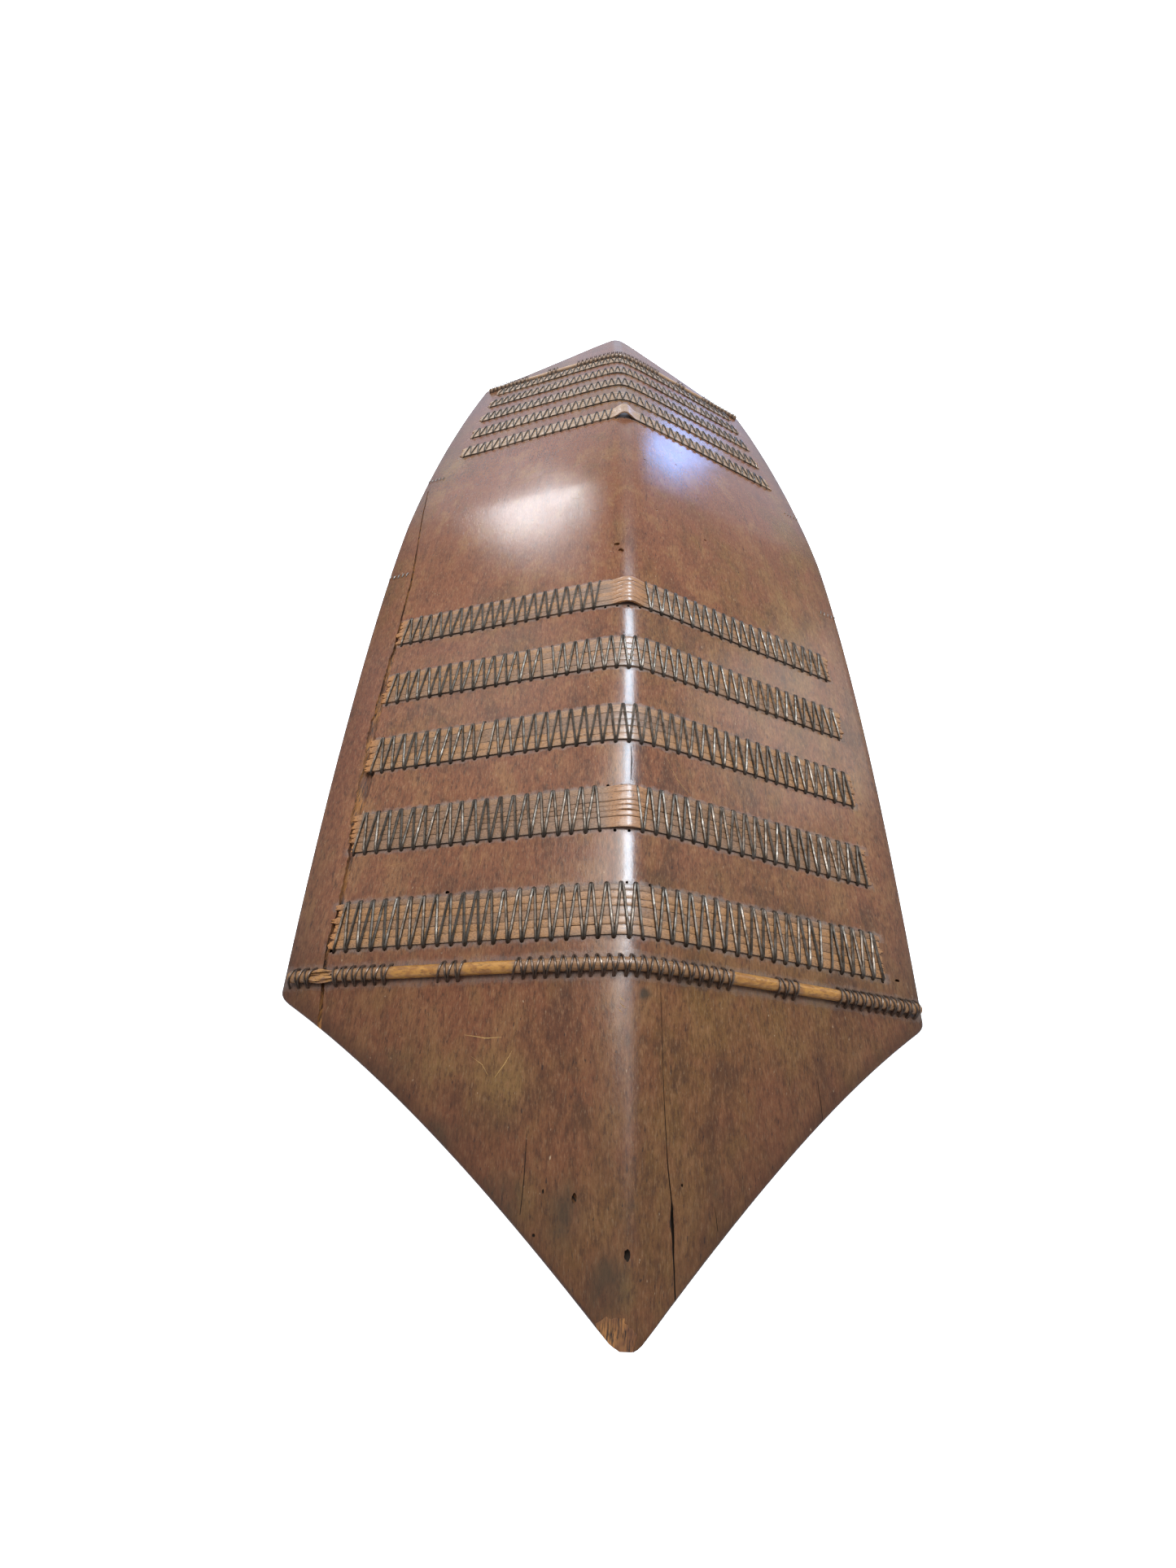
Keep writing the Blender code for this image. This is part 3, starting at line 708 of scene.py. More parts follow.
def scored_material():
    """Pale wood in the scratches."""
    paint = Paint("scored wood")
    specks = paint.noise((700, 700, 700), 3)
    colour = paint.layers((0.440, 0.270, 0.090), (specks, (0.270, 0.140, 0.050)))
    return paint.finish(colour, 0.6, paint.bump(specks, 0.0002, 0.4))


def rattan_material(bands):
    """Split rattan: fibres along X, dusty and pink grey, cleaner where bare, fresh orange at torn ends."""
    paint = Paint("split rattan")
    cover = paint.cover
    attribute = paint.attribute
    fibres = paint.noise((60, 2100, 2100), 4, 0.6, 0.2)
    patches = paint.noise((70, 150, 150), 4)
    cracks = paint.noise((1000, 130, 300), 3, 0.6, 0.4)
    warm = paint.sums("ADD", attribute("tone"), paint.times(patches, 0.9))
    colour = paint.layers(
        bands.pink_tan,
        (paint.step(warm, 0.60, 1.20), bands.ochre),
        (paint.times(attribute("dust"), paint.step(patches, 0.30, 0.62, 0.35, 1.0)), bands.dusty),
        (attribute("clean"), (0.285, 0.122, 0.040)),
        (attribute("fresh"), bands.fresh),
        # Painted sheen: the far bands are lightened towards cream
        (attribute("pale"), (0.400, 0.300, 0.205)),
        (cover(fibres, 0.50, 0.34, 0.78), (0.055, 0.026, 0.014)),
        (cover(fibres, 0.56, 0.74, 0.55), (0.420, 0.260, 0.150)),
        (cover(cracks, 0.33, 0.27, 0.75), (0.030, 0.018, 0.011)),
        # Painted shade: near black on each strip's side walls, darkest at their foot
        (cover(attribute("gap"), 0.15, 0.90, 0.95), (0.016, 0.010, 0.007)),
    )
    rough = paint.step(patches, 0.3, 0.7, 0.36, 0.52)
    normal = paint.bump(cracks, 0.0004, 0.4, paint.bump(fibres, 0.00018, 0.6))
    rubbed = paint.step(paint.size_of(paint.axis("X")), 0.003, 0.012, 0.6, 0.0)
    return paint.finish(
        colour, rough, normal, coat_weight=rubbed, specular_ior_level=0.5, coat_roughness=0.18
    )


def cane_material(canes):
    """Round cane: glossy ochre skin with fine lines along X and brown scuffs, grey under the wire."""
    paint = Paint("round cane")
    cover = paint.cover
    lines = paint.noise((22, 1300, 1300), 3, 0.6)
    scuffs = paint.noise((150, 300, 300), 5, 0.65, 0.5)
    colour = paint.layers(
        canes.skin,
        (paint.step(scuffs, 0.38, 0.62), (0.205, 0.084, 0.022)),
        (paint.attribute("dust"), (0.165, 0.086, 0.046)),
        # Painted sheen: the far cane is lightened
        (paint.attribute("pale"), (0.360, 0.240, 0.160)),
        (cover(scuffs, 0.60, 0.76, 0.60), (0.380, 0.215, 0.085)),
        (cover(scuffs, 0.38, 0.27, 0.85), (0.070, 0.030, 0.012)),
        (cover(lines, 0.46, 0.32, 0.70), (0.085, 0.038, 0.014)),
    )
    rough = paint.step(scuffs, 0.3, 0.7, 0.42, 0.28)
    return paint.finish(colour, rough, paint.bump(lines, 0.0002, 0.5), specular_ior_level=0.5)


def torn_cane_material():
    """The broken end of the cane: pale pink and ochre fibres."""
    paint = Paint("torn cane")
    fibres = paint.noise((90, 1300, 1300), 4, 0.7, 0.4)
    colour = paint.layers(
        (0.200, 0.095, 0.045),
        (paint.step(paint.noise((240, 300, 300), 3), 0.38, 0.60), (0.280, 0.125, 0.032)),
        (paint.cover(fibres, 0.56, 0.74, 0.45), (0.420, 0.260, 0.130)),
        (paint.cover(fibres, 0.46, 0.32, 0.85), (0.030, 0.013, 0.007)),
    )
    return paint.finish(colour, 0.68, paint.bump(fibres, 0.0005, 0.9))


def metal_material(name, colour, tarnish, worn, dusty):
    """Old wire: dull metal with tarnish and fine marks. It is darker and duller to the left of the ridge."""
    paint = Paint(name)
    patches = paint.noise((230, 230, 230), 4, 0.6)
    specks = paint.noise((1400, 1400, 1400), 3)
    # Darker tarnish and more roughness to the left of the ridge than to its right
    dust = paint.step(paint.scaled(patches, 0.060, paint.axis("X")), 0.010, 0.050, dusty, dusty * 0.6)
    shade = paint.layers(
        colour,
        (paint.step(patches, 0.42, 0.64), tarnish),
        (paint.cover(patches, 0.42, 0.30, 0.7), worn),
        (paint.cover(specks, 0.62, 0.74, 0.5), tarnish),
        (dust, tarnish),
    )
    rough = paint.scaled(dust, 0.20, paint.step(patches, 0.30, 0.66, 0.30, 0.44))
    return paint.finish(shade, rough, paint.bump(specks, 0.00008, 0.6), metallic=0.85)


def column_place(form, column, y):
    """X of a column of the board's grid: turns of the lacing, then the border, then the rounded rim."""
    width = form.half_width(y)
    rounding = form.rounding_at(y)
    laced = form.bands.laced_share * width
    beyond = abs(column) - form.turns
    if beyond <= 0:
        x = laced * abs(column) / form.turns
    elif beyond <= BORDER_COLUMNS:
        x = stretched(beyond / BORDER_COLUMNS, laced, width - rounding)
    else:
        turn = (beyond - BORDER_COLUMNS) / ROUNDING_STEPS * math.pi / 2
        x = width - rounding * (1 - math.sin(turn))
    return math.copysign(x, column)


def row_places(form):
    """Places along Y where the board's grid has a row, from the near tip to the far one."""
    softening = form.board.corner_softening
    stops = {0.0, form.half_length - form.rounding}
    stops.update(form.shoulder + softening * step for step in (-1, -0.5, -0.25, 0, 0.25, 0.5, 1))
    stops.update(form.line(number) + side * form.reach for number in BAND_NUMBERS for side in (-1, 1))
    stops = sorted(stops)
    rows = []
    for low, high in zip(stops, stops[1:]):
        parts = max(round((high - low) / ROW_STEP), 1)
        rows += [low + (high - low) * part / parts for part in range(parts)]
    for part in range(ROUNDING_STEPS + 1):
        turn = part / ROUNDING_STEPS * math.pi / 2
        rows.append(form.half_length - form.rounding * (1 - math.sin(turn)))
    return [-y for y in rows[:0:-1]] + rows


def open_holes(shape, form, verts, size):
    """Opens a small round hole at each vertex on both sides of the wood; walls and floor are painted shade.
    """
    faces = bevel(shape, verts, size / 2, 1, "VERTICES")
    centres = [face.calc_center_median() for face in faces]
    edges = list(dict.fromkeys(edge for face in faces for edge in face.edges))
    bmesh.ops.subdivide_edges(shape, edges=edges, cuts=1)
    for face, centre in zip(faces, centres):
        for vert in face.verts:
            vert.co = centre + (vert.co - centre).normalized() * size / 2
    for floor in bmesh.ops.extrude_discrete_faces(shape, faces=faces)["faces"]:
        x, y, z = floor.calc_center_median()
        into = ((form.face(x, y) + form.underside(x, y)) / 2 - z) * 0.62
        for vert in floor.verts:
            vert.co.z += into
        floor.material_index = BORE
        for edge in floor.edges:
            for wall in edge.link_faces:
                wall.material_index = BORE


def board_shape(form):
    """The board without its grip: a grid bent to the carved form, with a hole at each turn of the lacing."""
    rows = row_places(form)
    outmost = form.turns + BORDER_COLUMNS + ROUNDING_STEPS
    shape = bmesh.new()
    keys = []

    def place(u, v, upper):
        column = round(u * outmost)
        row = round((v + 1) / 2 * (len(rows) - 1))
        keys.append((column, row, upper))
        y = rows[row]
        x = column_place(form, column, y)
        fall = form.edge_fall(x, y)
        return Vector((x, y, form.face(x, y) - fall if upper else form.underside(x, y) + fall))

    # add_sheet moves every vertex in the order in which it asks for the places
    at = dict(zip(keys, add_sheet(shape, 2 * outmost, len(rows) - 1, place)))
    holes = []
    for end, number in BANDS:
        for turn in range(-form.turns, form.turns + 1):
            x, y = form.hole(end, number, turn)
            row = min(range(len(rows)), key=lambda index: abs(rows[index] - y))
            for upper in (True, False):
                vert = at[turn, row, upper]
                vert.co = (x, y, form.face(x, y) if upper else form.underside(x, y))
                holes.append(vert)
    open_holes(shape, form, holes, form.bands.hole)
    bmesh.ops.recalc_face_normals(shape, faces=shape.faces)
    return shape


def add_gouge(shape, form, points, depth, material, across):
    """A ragged ditch through points of x, y and width, for cutting into the face."""
    stations = []
    for start, stop in zip(points, points[1:]):
        parts = max(round(math.hypot(stop[0] - start[0], stop[1] - start[1]) / GOUGE_STEP), 1)
        for part in range(parts):
            stations.append([stretched(part / parts, low, high) for low, high in zip(start, stop)])
    stations.append(points[-1])
    run = Vector(points[-1][:2]) - Vector(points[0][:2])
    aside = Vector((-run.y, run.x)).normalized() * math.copysign(1, -run.y)
    last = len(stations) - 1
    before = len(shape.faces)

    def place(u, v, upper):
        x, y, width = stations[round((u + 1) / 2 * last)]
        ragged_edge = 0.55 * wave(x * 300, y * 300, v * 0.7 + 40) * (width > 0.001)
        half = width / 2 * (1 + ragged_edge) + 0.00004
        wander = wave(x * 120, y * 120, 17) * min(width * 0.5, 0.0004)
        spot = Vector((x, y)) + aside * (v * half + wander)
        if upper:
            return form.on_face(spot.x, spot.y, 0.0015)
        fibre = wave(v * width * 1500, y * 60, 5) * 0.35
        floor = 0.0003 - (depth * min(width / 0.0020, 1) + 0.0003) * (1 - v * v) ** 0.6 * (1 + fibre)
        return form.on_face(spot.x, spot.y, floor)

    add_sheet(shape, last, across, place)
    give_material(shape, before, material)


def add_pit(shape, form, pit, material):
    """A rough hollow, for cutting into the face. A great depth makes it a hole with upright walls."""
    x, y, across, along, depth = pit
    before = len(shape.faces)
    upright = depth > 0.0015
    if upright:
        size = {"segments": 14, "radius1": 0.5, "radius2": 0.5, "depth": 2 * depth}
        made = bmesh.ops.create_cone(shape, cap_ends=True, **size)
    else:
        made = bmesh.ops.create_icosphere(shape, subdivisions=3, radius=0.5)
    for vert in made["verts"]:
        place = vert.co.copy()
        swell = 1 + 0.30 * wave(place.x * 3.1 + x * 900, place.y * 3.1 + y * 700, place.z)
        vert.co.x = x + place.x * across * swell
        vert.co.y = y + place.y * along * swell
        vert.co.z = form.face(x, y) + (place.z if upright else place.z * 2 * depth * swell)
        if depth > 0.01:
            # A hole right through goes in at a slant
            vert.co.x += place.z * 0.42
            vert.co.y -= place.z * 0.40
    give_material(shape, before, material)


def chip_cutter(form):
    """The block whose torn underside breaks the chip off the near tip. Its fibres run askew."""
    shape = bmesh.new()
    bmesh.ops.create_cube(shape, size=CHIP_BLOCK)
    bmesh.ops.subdivide_edges(shape, edges=shape.edges[:], cuts=44, use_grid_fill=True)
    shape.normal_update()
    turn = Euler(CHIP_TURN).to_matrix()
    centre = form.on_face(*CHIP_CORNER) + turn @ Vector((-CHIP_BLOCK / 2, 0, CHIP_BLOCK / 2))
    places = []
    for vert in shape.verts:
        place = turn @ vert.co + centre
        slanted = place.x * 0.80 + place.y * 0.60
        fibre = wave(slanted * 90, (place.y * 0.80 - place.x * 0.60) * 700, place.z * 300)
        broad = noise.noise(place * 210 + Vector((3, 9, 2)))
        places.append(place + turn @ vert.normal * (fibre * 0.0005 + broad * 0.0002))
    for vert, place in zip(shape.verts, places):
        vert.co = place
    give_material(shape, 0, RAW)
    return shape


def damage_cutters(form):
    """Cutters for the splits, cracks, scratches, pits and holes. Within one of them nothing overlaps."""
    for lines, depth, material, across in (
        ((LONG_SPLIT,), 0.0036, RAW, 10),
        (END_CRACKS, 0.0044, BORE, 6),
        (SHORT_SPLITS, 0.0030, BORE, 4),
        (SCRATCHES, 0.0005, SCORED, 2),
    ):
        shape = bmesh.new()
        for points in lines:
            points = in_metres(points)
            if lines is END_CRACKS:
                points = [(x, tip - form.half_length, width) for x, tip, width in points]
            add_gouge(shape, form, points, depth, material, across)
        bmesh.ops.recalc_face_normals(shape, faces=shape.faces)
        yield shape
    for pits, material in ((PITS, WOOD), (HOLES, BORE)):
        shape = bmesh.new()
        for pit in in_metres(pits):
            add_pit(shape, form, pit, material)
        yield shape


def grip_shapes(form):
    """The block of the grip and, apart, the rounded gap that is cut through it for the fingers."""
    board = form.board
    ceiling = form.ridge_top - board.thickness_ridge
    bar_top = ceiling - board.finger_gap
    block_top = ceiling + board.thickness_ridge * 0.35
    block = bmesh.new()
    bmesh.ops.create_cube(block, size=1)
    for vert in block.verts:
        upper = vert.co.z > 0
        vert.co.x *= board.grip_width
        vert.co.y *= board.grip_length + (2 * GRIP_FLARE if upper else 0)
        vert.co.z = block_top if upper else bar_top - board.grip_depth
    bevel(block, block.edges[:], GRIP_ROUNDING, 5)
    gap = bmesh.new()
    bmesh.ops.create_cube(gap, size=1)
    for vert in gap.verts:
        vert.co.x *= board.grip_width * 2
        vert.co.y *= board.grip_length - 2 * GRIP_POST
        vert.co.z = block_top + GAP_ROUNDING if vert.co.z > 0 else bar_top
    low = []
    for edge in gap.edges:
        one, other = (vert.co for vert in edge.verts)
        if abs(one.x - other.x) > 0.001 and one.z < ceiling:
            low.append(edge)
    bevel(gap, low, GAP_ROUNDING, 7)
    return block, gap


def boolean(mesh, steps, materials):
    """Cuts or joins bmeshes to a mesh, one after another, and gives the new mesh."""
    body = link("body", mesh)
    others = []
    for operation, shape in steps:
        others.append(link("other", to_mesh(shape)))
        modifier = body.modifiers.new(operation, "BOOLEAN")
        modifier.operation = operation
        modifier.solver = "EXACT"
        modifier.object = others[-1]
    for thing in (body, *others):
        for material in materials:
            thing.data.materials.append(material)
    graph = bpy.context.evaluated_depsgraph_get()
    result = bpy.data.meshes.new_from_object(body.evaluated_get(graph))
    for thing in (body, *others):
        bpy.data.meshes.remove(thing.data)
    return result


def blot(places, stains):
    """Strength of the soft stains at each place."""
    found = np.zeros(len(places))
    for x, y, across, along, strength in stains:
        away = ((places[:, 0] - x) / across) ** 2 + ((places[:, 1] - y) / along) ** 2
        found = np.maximum(found, strength * np.exp(-away))
    return found


def paint_board(mesh, form):
    """Attributes that the wood reads: stains, painted shade, and the place between turns of the lacing."""
    places = np.zeros(len(mesh.vertices) * 3)
    mesh.vertices.foreach_get("co", places)
    places = places.reshape(-1, 3)
    values = {name: blot(places * 1000, stains) for name, stains in STAINS.items()}
    values.update(step=[], shade=[])
    for x, y, z in places:
        width = max(form.half_width(clamp(y, -form.half_length, form.half_length)), 0.004)
        turn = x / (form.bands.laced_share * width) * form.turns
        # Painted shade, not a stain: the wood darkens towards the near end, at the rim and on the near end's
        # outer sides
        near_end_shade = clamp((-y - 0.34) / 0.22)
        rim = clamp((abs(x) / width - 0.90) / 0.08)
        side = clamp((abs(x) / width - 0.45) / 0.55) * clamp((-y - 0.40) / 0.06)
        values["step"].append(clamp(turn, -60, 60))
        values["shade"].append(min(0.46 * near_end_shade + 0.34 * rim + 0.22 * side, 0.75))
    for name, row in values.items():
        layer = mesh.attributes.new(name, "FLOAT", "POINT")
        layer.data.foreach_set("value", np.asarray(row, dtype=np.float32))


class SHIELD_OT_carve_board(bpy.types.Operator):
    """Carves the board with its grip, its holes, cracks and chip"""

    bl_idname = "shield.carve_board"
    bl_label = "Carve the board"

    def execute(self, context):
        form = Form(context.scene)
        board = form.board
        materials = (wood_material(form), raw_wood_material(board), bore_material(), scored_material())
        block, gap = grip_shapes(form)
        grip = bmesh.new()
        grip.from_mesh(boolean(to_mesh(block), [("DIFFERENCE", gap)], materials))
        cutters = [chip_cutter(form), *damage_cutters(form)]
        steps = [("UNION", grip), *(("DIFFERENCE", cutter) for cutter in cutters)]
        mesh = boolean(to_mesh(board_shape(form)), steps, materials)
        paint_board(mesh, form)
        new_piece("carved_board", mesh, materials, ("board",))
        part_materials(mesh)
        return {"FINISHED"}


def band_shape(form, end, number):
    """A band: split strips side by side, each crowned and a little crooked, with its own ends."""
    dice = random.Random(f"{end} {number}")
    bands = form.bands
    shape = bmesh.new()
    names = ("tone", "dust", "clean", "fresh", "gap", "pale")
    layers = {name: shape.verts.layers.float.new(name) for name in names}
    line = ENDS[end] * form.line(number)
    lift = BAND_LIFT.get((end, number), 0)
    start = -bands.width / 2
    for share in STRIP_SHARES.get((end, number), DEFAULT_STRIP_SHARES):
        width = bands.width * share
        middle = line + start + width / 2
        start += width
        half = width / 2 - 0.00006
        thick = bands.thickness * dice.uniform(0.92, 1.04)
        tone = dice.random()
        seed = dice.uniform(0, 90)
        limit = form.half_width(middle) - bands.edge_inset
        left = -limit + dice.uniform(-0.0012, 0.0022)
        right = limit - dice.uniform(-0.0012, 0.0022)
        sideways = dice.uniform(-1, 1)

        def place(u, v, upper):
            v = math.sin(v * math.pi / 2)
            torn = max(abs(u) - 0.985, 0) / 0.015
            x = stretched((u + 1) / 2, left, right) + torn * wave(v * 2.2, seed, u) * 0.0030
            wander = wave(x * 22, seed, 1) * 0.00030
            loose = max(1 - (x / LOOSE_HALF_WIDTH) ** 2, 0) ** 2 if lift else 0
            y = middle + wander + v * half * (1 - 0.3 * torn) + sideways * loose * 0.0006
            crown = thick * (1 - 0.16 * abs(v) ** 4) * (1 - 0.25 * torn)
            up = wave(x * 50, seed, 2) * 0.00016 + loose * lift
            return form.on_face(x, y, up + (crown if upper else -0.0004 + loose * lift * 0.1))

        for vert in add_sheet(shape, round((right - left) / STRIP_STEP), 6, place):
            x, y, z = vert.co
            edge = abs(y - middle) / half
            outer = abs(y - line) / (bands.width / 2)
            low = z < form.face(x, y) + 0.0008
            ending = min(x - left, right - x)
            values = {
                "tone": tone,
                "dust": min(0.16 + 0.35 * max(edge - 0.5, 0) + 1.10 * max(outer - 0.72, 0), 1),
                "clean": 0.85 * max(1 - (abs(x) / 0.0150) ** 4, 0) if lift else 0,
                "fresh": max(1 - ending / 0.007, 0) * (0.95 if x < 0 and end == "near" else 0.45),
                # gap: painted shade on each strip's side walls, darkest at their foot
                "gap": (1 if low else 0.55) * (edge > 0.985),
                # pale: a painted sheen that lightens the far bands
                "pale": BAND_PAINTED_SHEEN[end],
            }
            for name, value in values.items():
                vert[layers[name]] = value
    bmesh.ops.recalc_face_normals(shape, faces=shape.faces)
    return shape


class SHIELD_OT_lay_bands(bpy.types.Operator):
    """Lays the ten bands of split rattan"""

    bl_idname = "shield.lay_bands"
    bl_label = "Lay the bands"

    def execute(self, context):
        form = Form(context.scene)
        materials = (rattan_material(form.bands),)
        for end, number in BANDS:
            mesh = to_mesh(band_shape(form, end, number))
            nodes = (f"rattan_band_{end}_{number}",)
            new_piece(f"split_rattan_{end}_{number}", mesh, materials, nodes)
        return {"FINISHED"}


def leg_heights(form):
    """Profile of the wire over a band: distance from the band's line, and height over the face."""
    edge = form.bands.width / 2
    over = form.bands.thickness + form.bands.wire * 0.46
    half = (
        (form.reach, -0.0018),
        (form.reach - 0.0001, 0.0002),
        (edge + 0.0004, over * 0.62),
        (edge - 0.0007, over * 0.96),
        (edge * 0.62, over + 0.0001),
    )
    return (*((-distance, height) for distance, height in half), (0.0, over), *half[::-1])


def lacing_paths(form, end, number, first, last):
    """The wire of one run: a zigzag on the face, and a wire along each row of holes on the back."""
    profile = leg_heights(form)
    line = ENDS[end] * form.line(number)
    path = []
    for turn in range(first, last):
        x1, y1 = form.hole(end, number, turn)
        x2, y2 = form.hole(end, number, turn + 1)
        for distance, height in profile:
            share = (distance / form.reach + 1) / 2
            x = stretched(share, x1 + 0.00045, x2 - 0.00045)
            sway = wave(turn * 3.7, distance * 60, line * 50) * 0.0003 * (abs(distance) < 0.012)
            path.append((form.on_face(x + sway, stretched(share, y1, y2), height), 1))
    yield path
    for odd in (0, 1):
        back = []
        for turn in range(first, last + 1):
            x, y = form.hole(end, number, turn)
            into = 0.15
            if turn % 2 != odd:
                if not back or turn == last:
                    continue
                y += form.reach * 2 if odd else -form.reach * 2
                into = 0.55
            back.append((Vector((x, y, form.underside(x, y) - form.bands.wire * into)), 1))
        yield back


class SHIELD_OT_lace_bands(bpy.types.Operator):
    """Laces the bands to the board with zigzag wire"""

    bl_idname = "shield.lace_bands"
    bl_label = "Lace the bands"

    def execute(self, context):
        form = Form(context.scene)
        bands = form.bands
        steel = metal_material("dull wire", bands.steel, (0.062, 0.045, 0.032), (0.330, 0.290, 0.245), 0.50)
        for end, number in BANDS:
            sides = {"_left": [], "_right": []} if (end, number) in BAND_LIFT else {"": []}
            for first, last in form.runs(end, number):
                side = "" if "" in sides else "_left" if first + last < 0 else "_right"
                sides[side] += lacing_paths(form, end, number, first, last)
            for side, paths in sides.items():
                mesh = to_mesh(wire_shape(paths, bands.wire * WIRE_SHARES[end], WIRE_SIDES))
                place = f"{end}_{number}{side}"
                new_piece(f"wire_lacing_{place}", mesh, (steel,), (f"band_lacing_{place}",))
        return {"FINISHED"}


def cane_path(form, end, low, high):
    """Points along a cane, with its swelling."""
    line = form.cane_line(end)
    parts = max(round((high - low) / CANE_STEP), 2)
    for part in range(parts + 1):
        x = stretched(part / parts, low, high)
        y = line + 0.0004 * wave(x * 12, line, 5)
        swell = CANE_SHARES[end] + 0.04 * wave(x * 35, line, 3)
        yield form.on_face(x, y, form.cane_height * CANE_RISES[end]), swell


class SHIELD_OT_lay_canes(bpy.types.Operator):
    """Lays the two round canes, the near one with its broken end"""

    bl_idname = "shield.lay_canes"
    bl_label = "Lay the canes"

    def execute(self, context):
        form = Form(context.scene)
        materials = (cane_material(form.canes), torn_cane_material())
        for end in ENDS:
            half = form.half_width(form.cane_line(end))
            limit = half - CANE_INSETS[end]
            stretches = [(-limit, BREAK_FROM), (BREAK_TO, limit)] if end == "near" else [(-limit, limit)]
            paths = [list(cane_path(form, end, low, high)) for low, high in stretches]
            shape = wire_shape(paths, form.canes.diameter, CANE_SIDES)
            if end == "near":
                add_break(shape, form)
            dust = shape.verts.layers.float.new("dust")
            pale = shape.verts.layers.float.new("pale")
            for vert in shape.verts:
                share = abs(vert.co.x) / half
                inside = max(min(share - low, high - share) for low, high in CANE_BARE_SHARES)
                vert[dust] = clamp(0.5 - inside / 0.012) * 0.75
                # pale carries the painted sheen that lightens the far cane
                vert[pale] = CANE_PAINTED_SHEEN[end]
            new_piece(f"round_cane_{end}", to_mesh(shape), materials, (f"cane_{end}",))
        return {"FINISHED"}


def add_break(shape, form):
    """Splintered fibres where the near cane has broken."""
    dice = random.Random("break")
    line = form.cane_line("near")
    before = len(shape.faces)
    for count in range(BREAK_FIBRES):
        angle = dice.uniform(0, 2 * math.pi)
        out = form.canes.diameter / 2 * math.sqrt(dice.random()) * 0.92
        low = BREAK_FROM - dice.uniform(-0.0010, 0.0030)
        high = BREAK_TO + dice.uniform(-0.0050, 0.0020)
        size = dice.uniform(0.0006, 0.0013)
        swell = dice.uniform(1.0, 1.45)
        bend = dice.uniform(-1, 1)

        def place(u, v, upper):
            x = stretched((u + 1) / 2, low, high)
            bulge = 1 + (swell - 1) * (1 - u * u)
            thin = 1 - 0.8 * abs(u)
            y = line + math.cos(angle) * out * bulge + v * size * thin + bend * 0.0004 * u
            z = form.cane_height + math.sin(angle) * out * bulge + size * 0.5 * thin * (1 if upper else -1)
            return form.on_face(x, line, max(z, 0.0002)) + Vector((0, y - line, 0))

        add_sheet(shape, 9, 2, place)
    give_material(shape, before, TORN)
    bmesh.ops.recalc_face_normals(shape, faces=shape.faces)


def cane_leg(form):
    """Profile of the wire over a cane: distance from its line, and height over the face."""
    reach = form.canes.diameter / 2 + form.canes.overhang
    out = (form.canes.diameter + form.canes.wire * 0.9) / 2
    profile = [(-reach, -0.0015), (-reach + 0.0002, 0.0004)]
    for degrees in (12, 42, 70, 90, 110, 138, 168):
        turn = math.radians(degrees)
        profile.append((-out * math.cos(turn), form.cane_height + out * math.sin(turn)))
    return [*profile, (reach - 0.0002, 0.0004), (reach, -0.0015)]


def binding_path(form, end, low, high):
    """One run of the wire over a cane, between two shares of the board's half width."""
    line = form.cane_line(end)
    half = form.half_width(line)
    profile = cane_leg(form)
    reach = -profile[0][0]
    turns = max(round((high - low) * half / (form.canes.pitch / 2)), 2)
    stops = []
    for turn in range(turns + 1):
        shift = noise.noise_vector(Vector((turn * 2.3, low * 31, line * 17)))
        stops.append(stretched(turn / turns, low, high) * half + shift.x * 0.0006)
    for turn, (x1, x2) in enumerate(zip(stops, stops[1:])):
        if end == "near" and BREAK_FROM + 0.001 < (x1 + x2) / 2 < BREAK_TO - 0.003:
            continue
        for distance, height in profile:
            x = stretched((distance / reach + 1) / 2, x1 + 0.0003, x2 - 0.0003)
            y = line + (-distance if turn % 2 else distance)
            ground = form.on_face(x, line if abs(distance) < reach - 0.0004 else y).z
            yield Vector((x, y, ground + height)), 1


class SHIELD_OT_bind_canes(bpy.types.Operator):
    """Binds the canes to the board with brown wire, in five runs each"""

    bl_idname = "shield.bind_canes"
    bl_label = "Bind the canes"

    def execute(self, context):
        form = Form(context.scene)
        canes = form.canes
        tarnish = (0.090, 0.060, 0.044)
        bronze = metal_material("brown wire", canes.bronze, tarnish, (0.330, 0.260, 0.205), 0.4)
        (low1, high1), (low2, high2) = CANE_BARE_SHARES
        for end in ENDS:
            outer = 1 - CANE_WIRE_INSETS[end] / form.half_width(form.cane_line(end))
            runs = {
                "left_end": (-outer, -high2),
                "left": (-low2, -high1),
                "middle": (-low1, low1),
                "right": (high1, low2),
                "right_end": (high2, outer),
            }
            for place, (low, high) in runs.items():
                path = list(binding_path(form, end, low, high))
                mesh = to_mesh(wire_shape([path], canes.wire * WIRE_SHARES[end], WIRE_SIDES))
                nodes = (f"cane_lacing_{end}_{place}",)
                new_piece(f"cane_wire_{end}_{place}", mesh, (bronze,), nodes)
        return {"FINISHED"}


def stitch_row(form, end, side):
    """Leaning loops of wire, side by side from the board's edge inwards."""
    line = STITCH_LINES[end]
    canes = form.canes
    dice = random.Random(f"{end} {side} stitches")
    for stitch in range(STITCH_COUNT):
        x = SIDES[side] * (form.half_width(line) - 0.0022 - stitch * canes.stitch_pitch)
        lean = dice.uniform(0.0010, 0.0020)
        half = canes.stitch_length / 2 * dice.uniform(0.85, 1.1)
        middle = line + dice.uniform(-0.0004, 0.0004)
        loop = []
        for step in range(STITCH_STEPS + 1):
            turn = math.pi * step / STITCH_STEPS
            up = math.sin(turn) ** 0.6 * 0.0011 - (0.0012 if step in (0, STITCH_STEPS) else 0)
            spot = (x - lean / 2 + lean * step / STITCH_STEPS, middle - half * math.cos(turn))
            loop.append((form.on_face(*spot, up), 1))
        yield loop


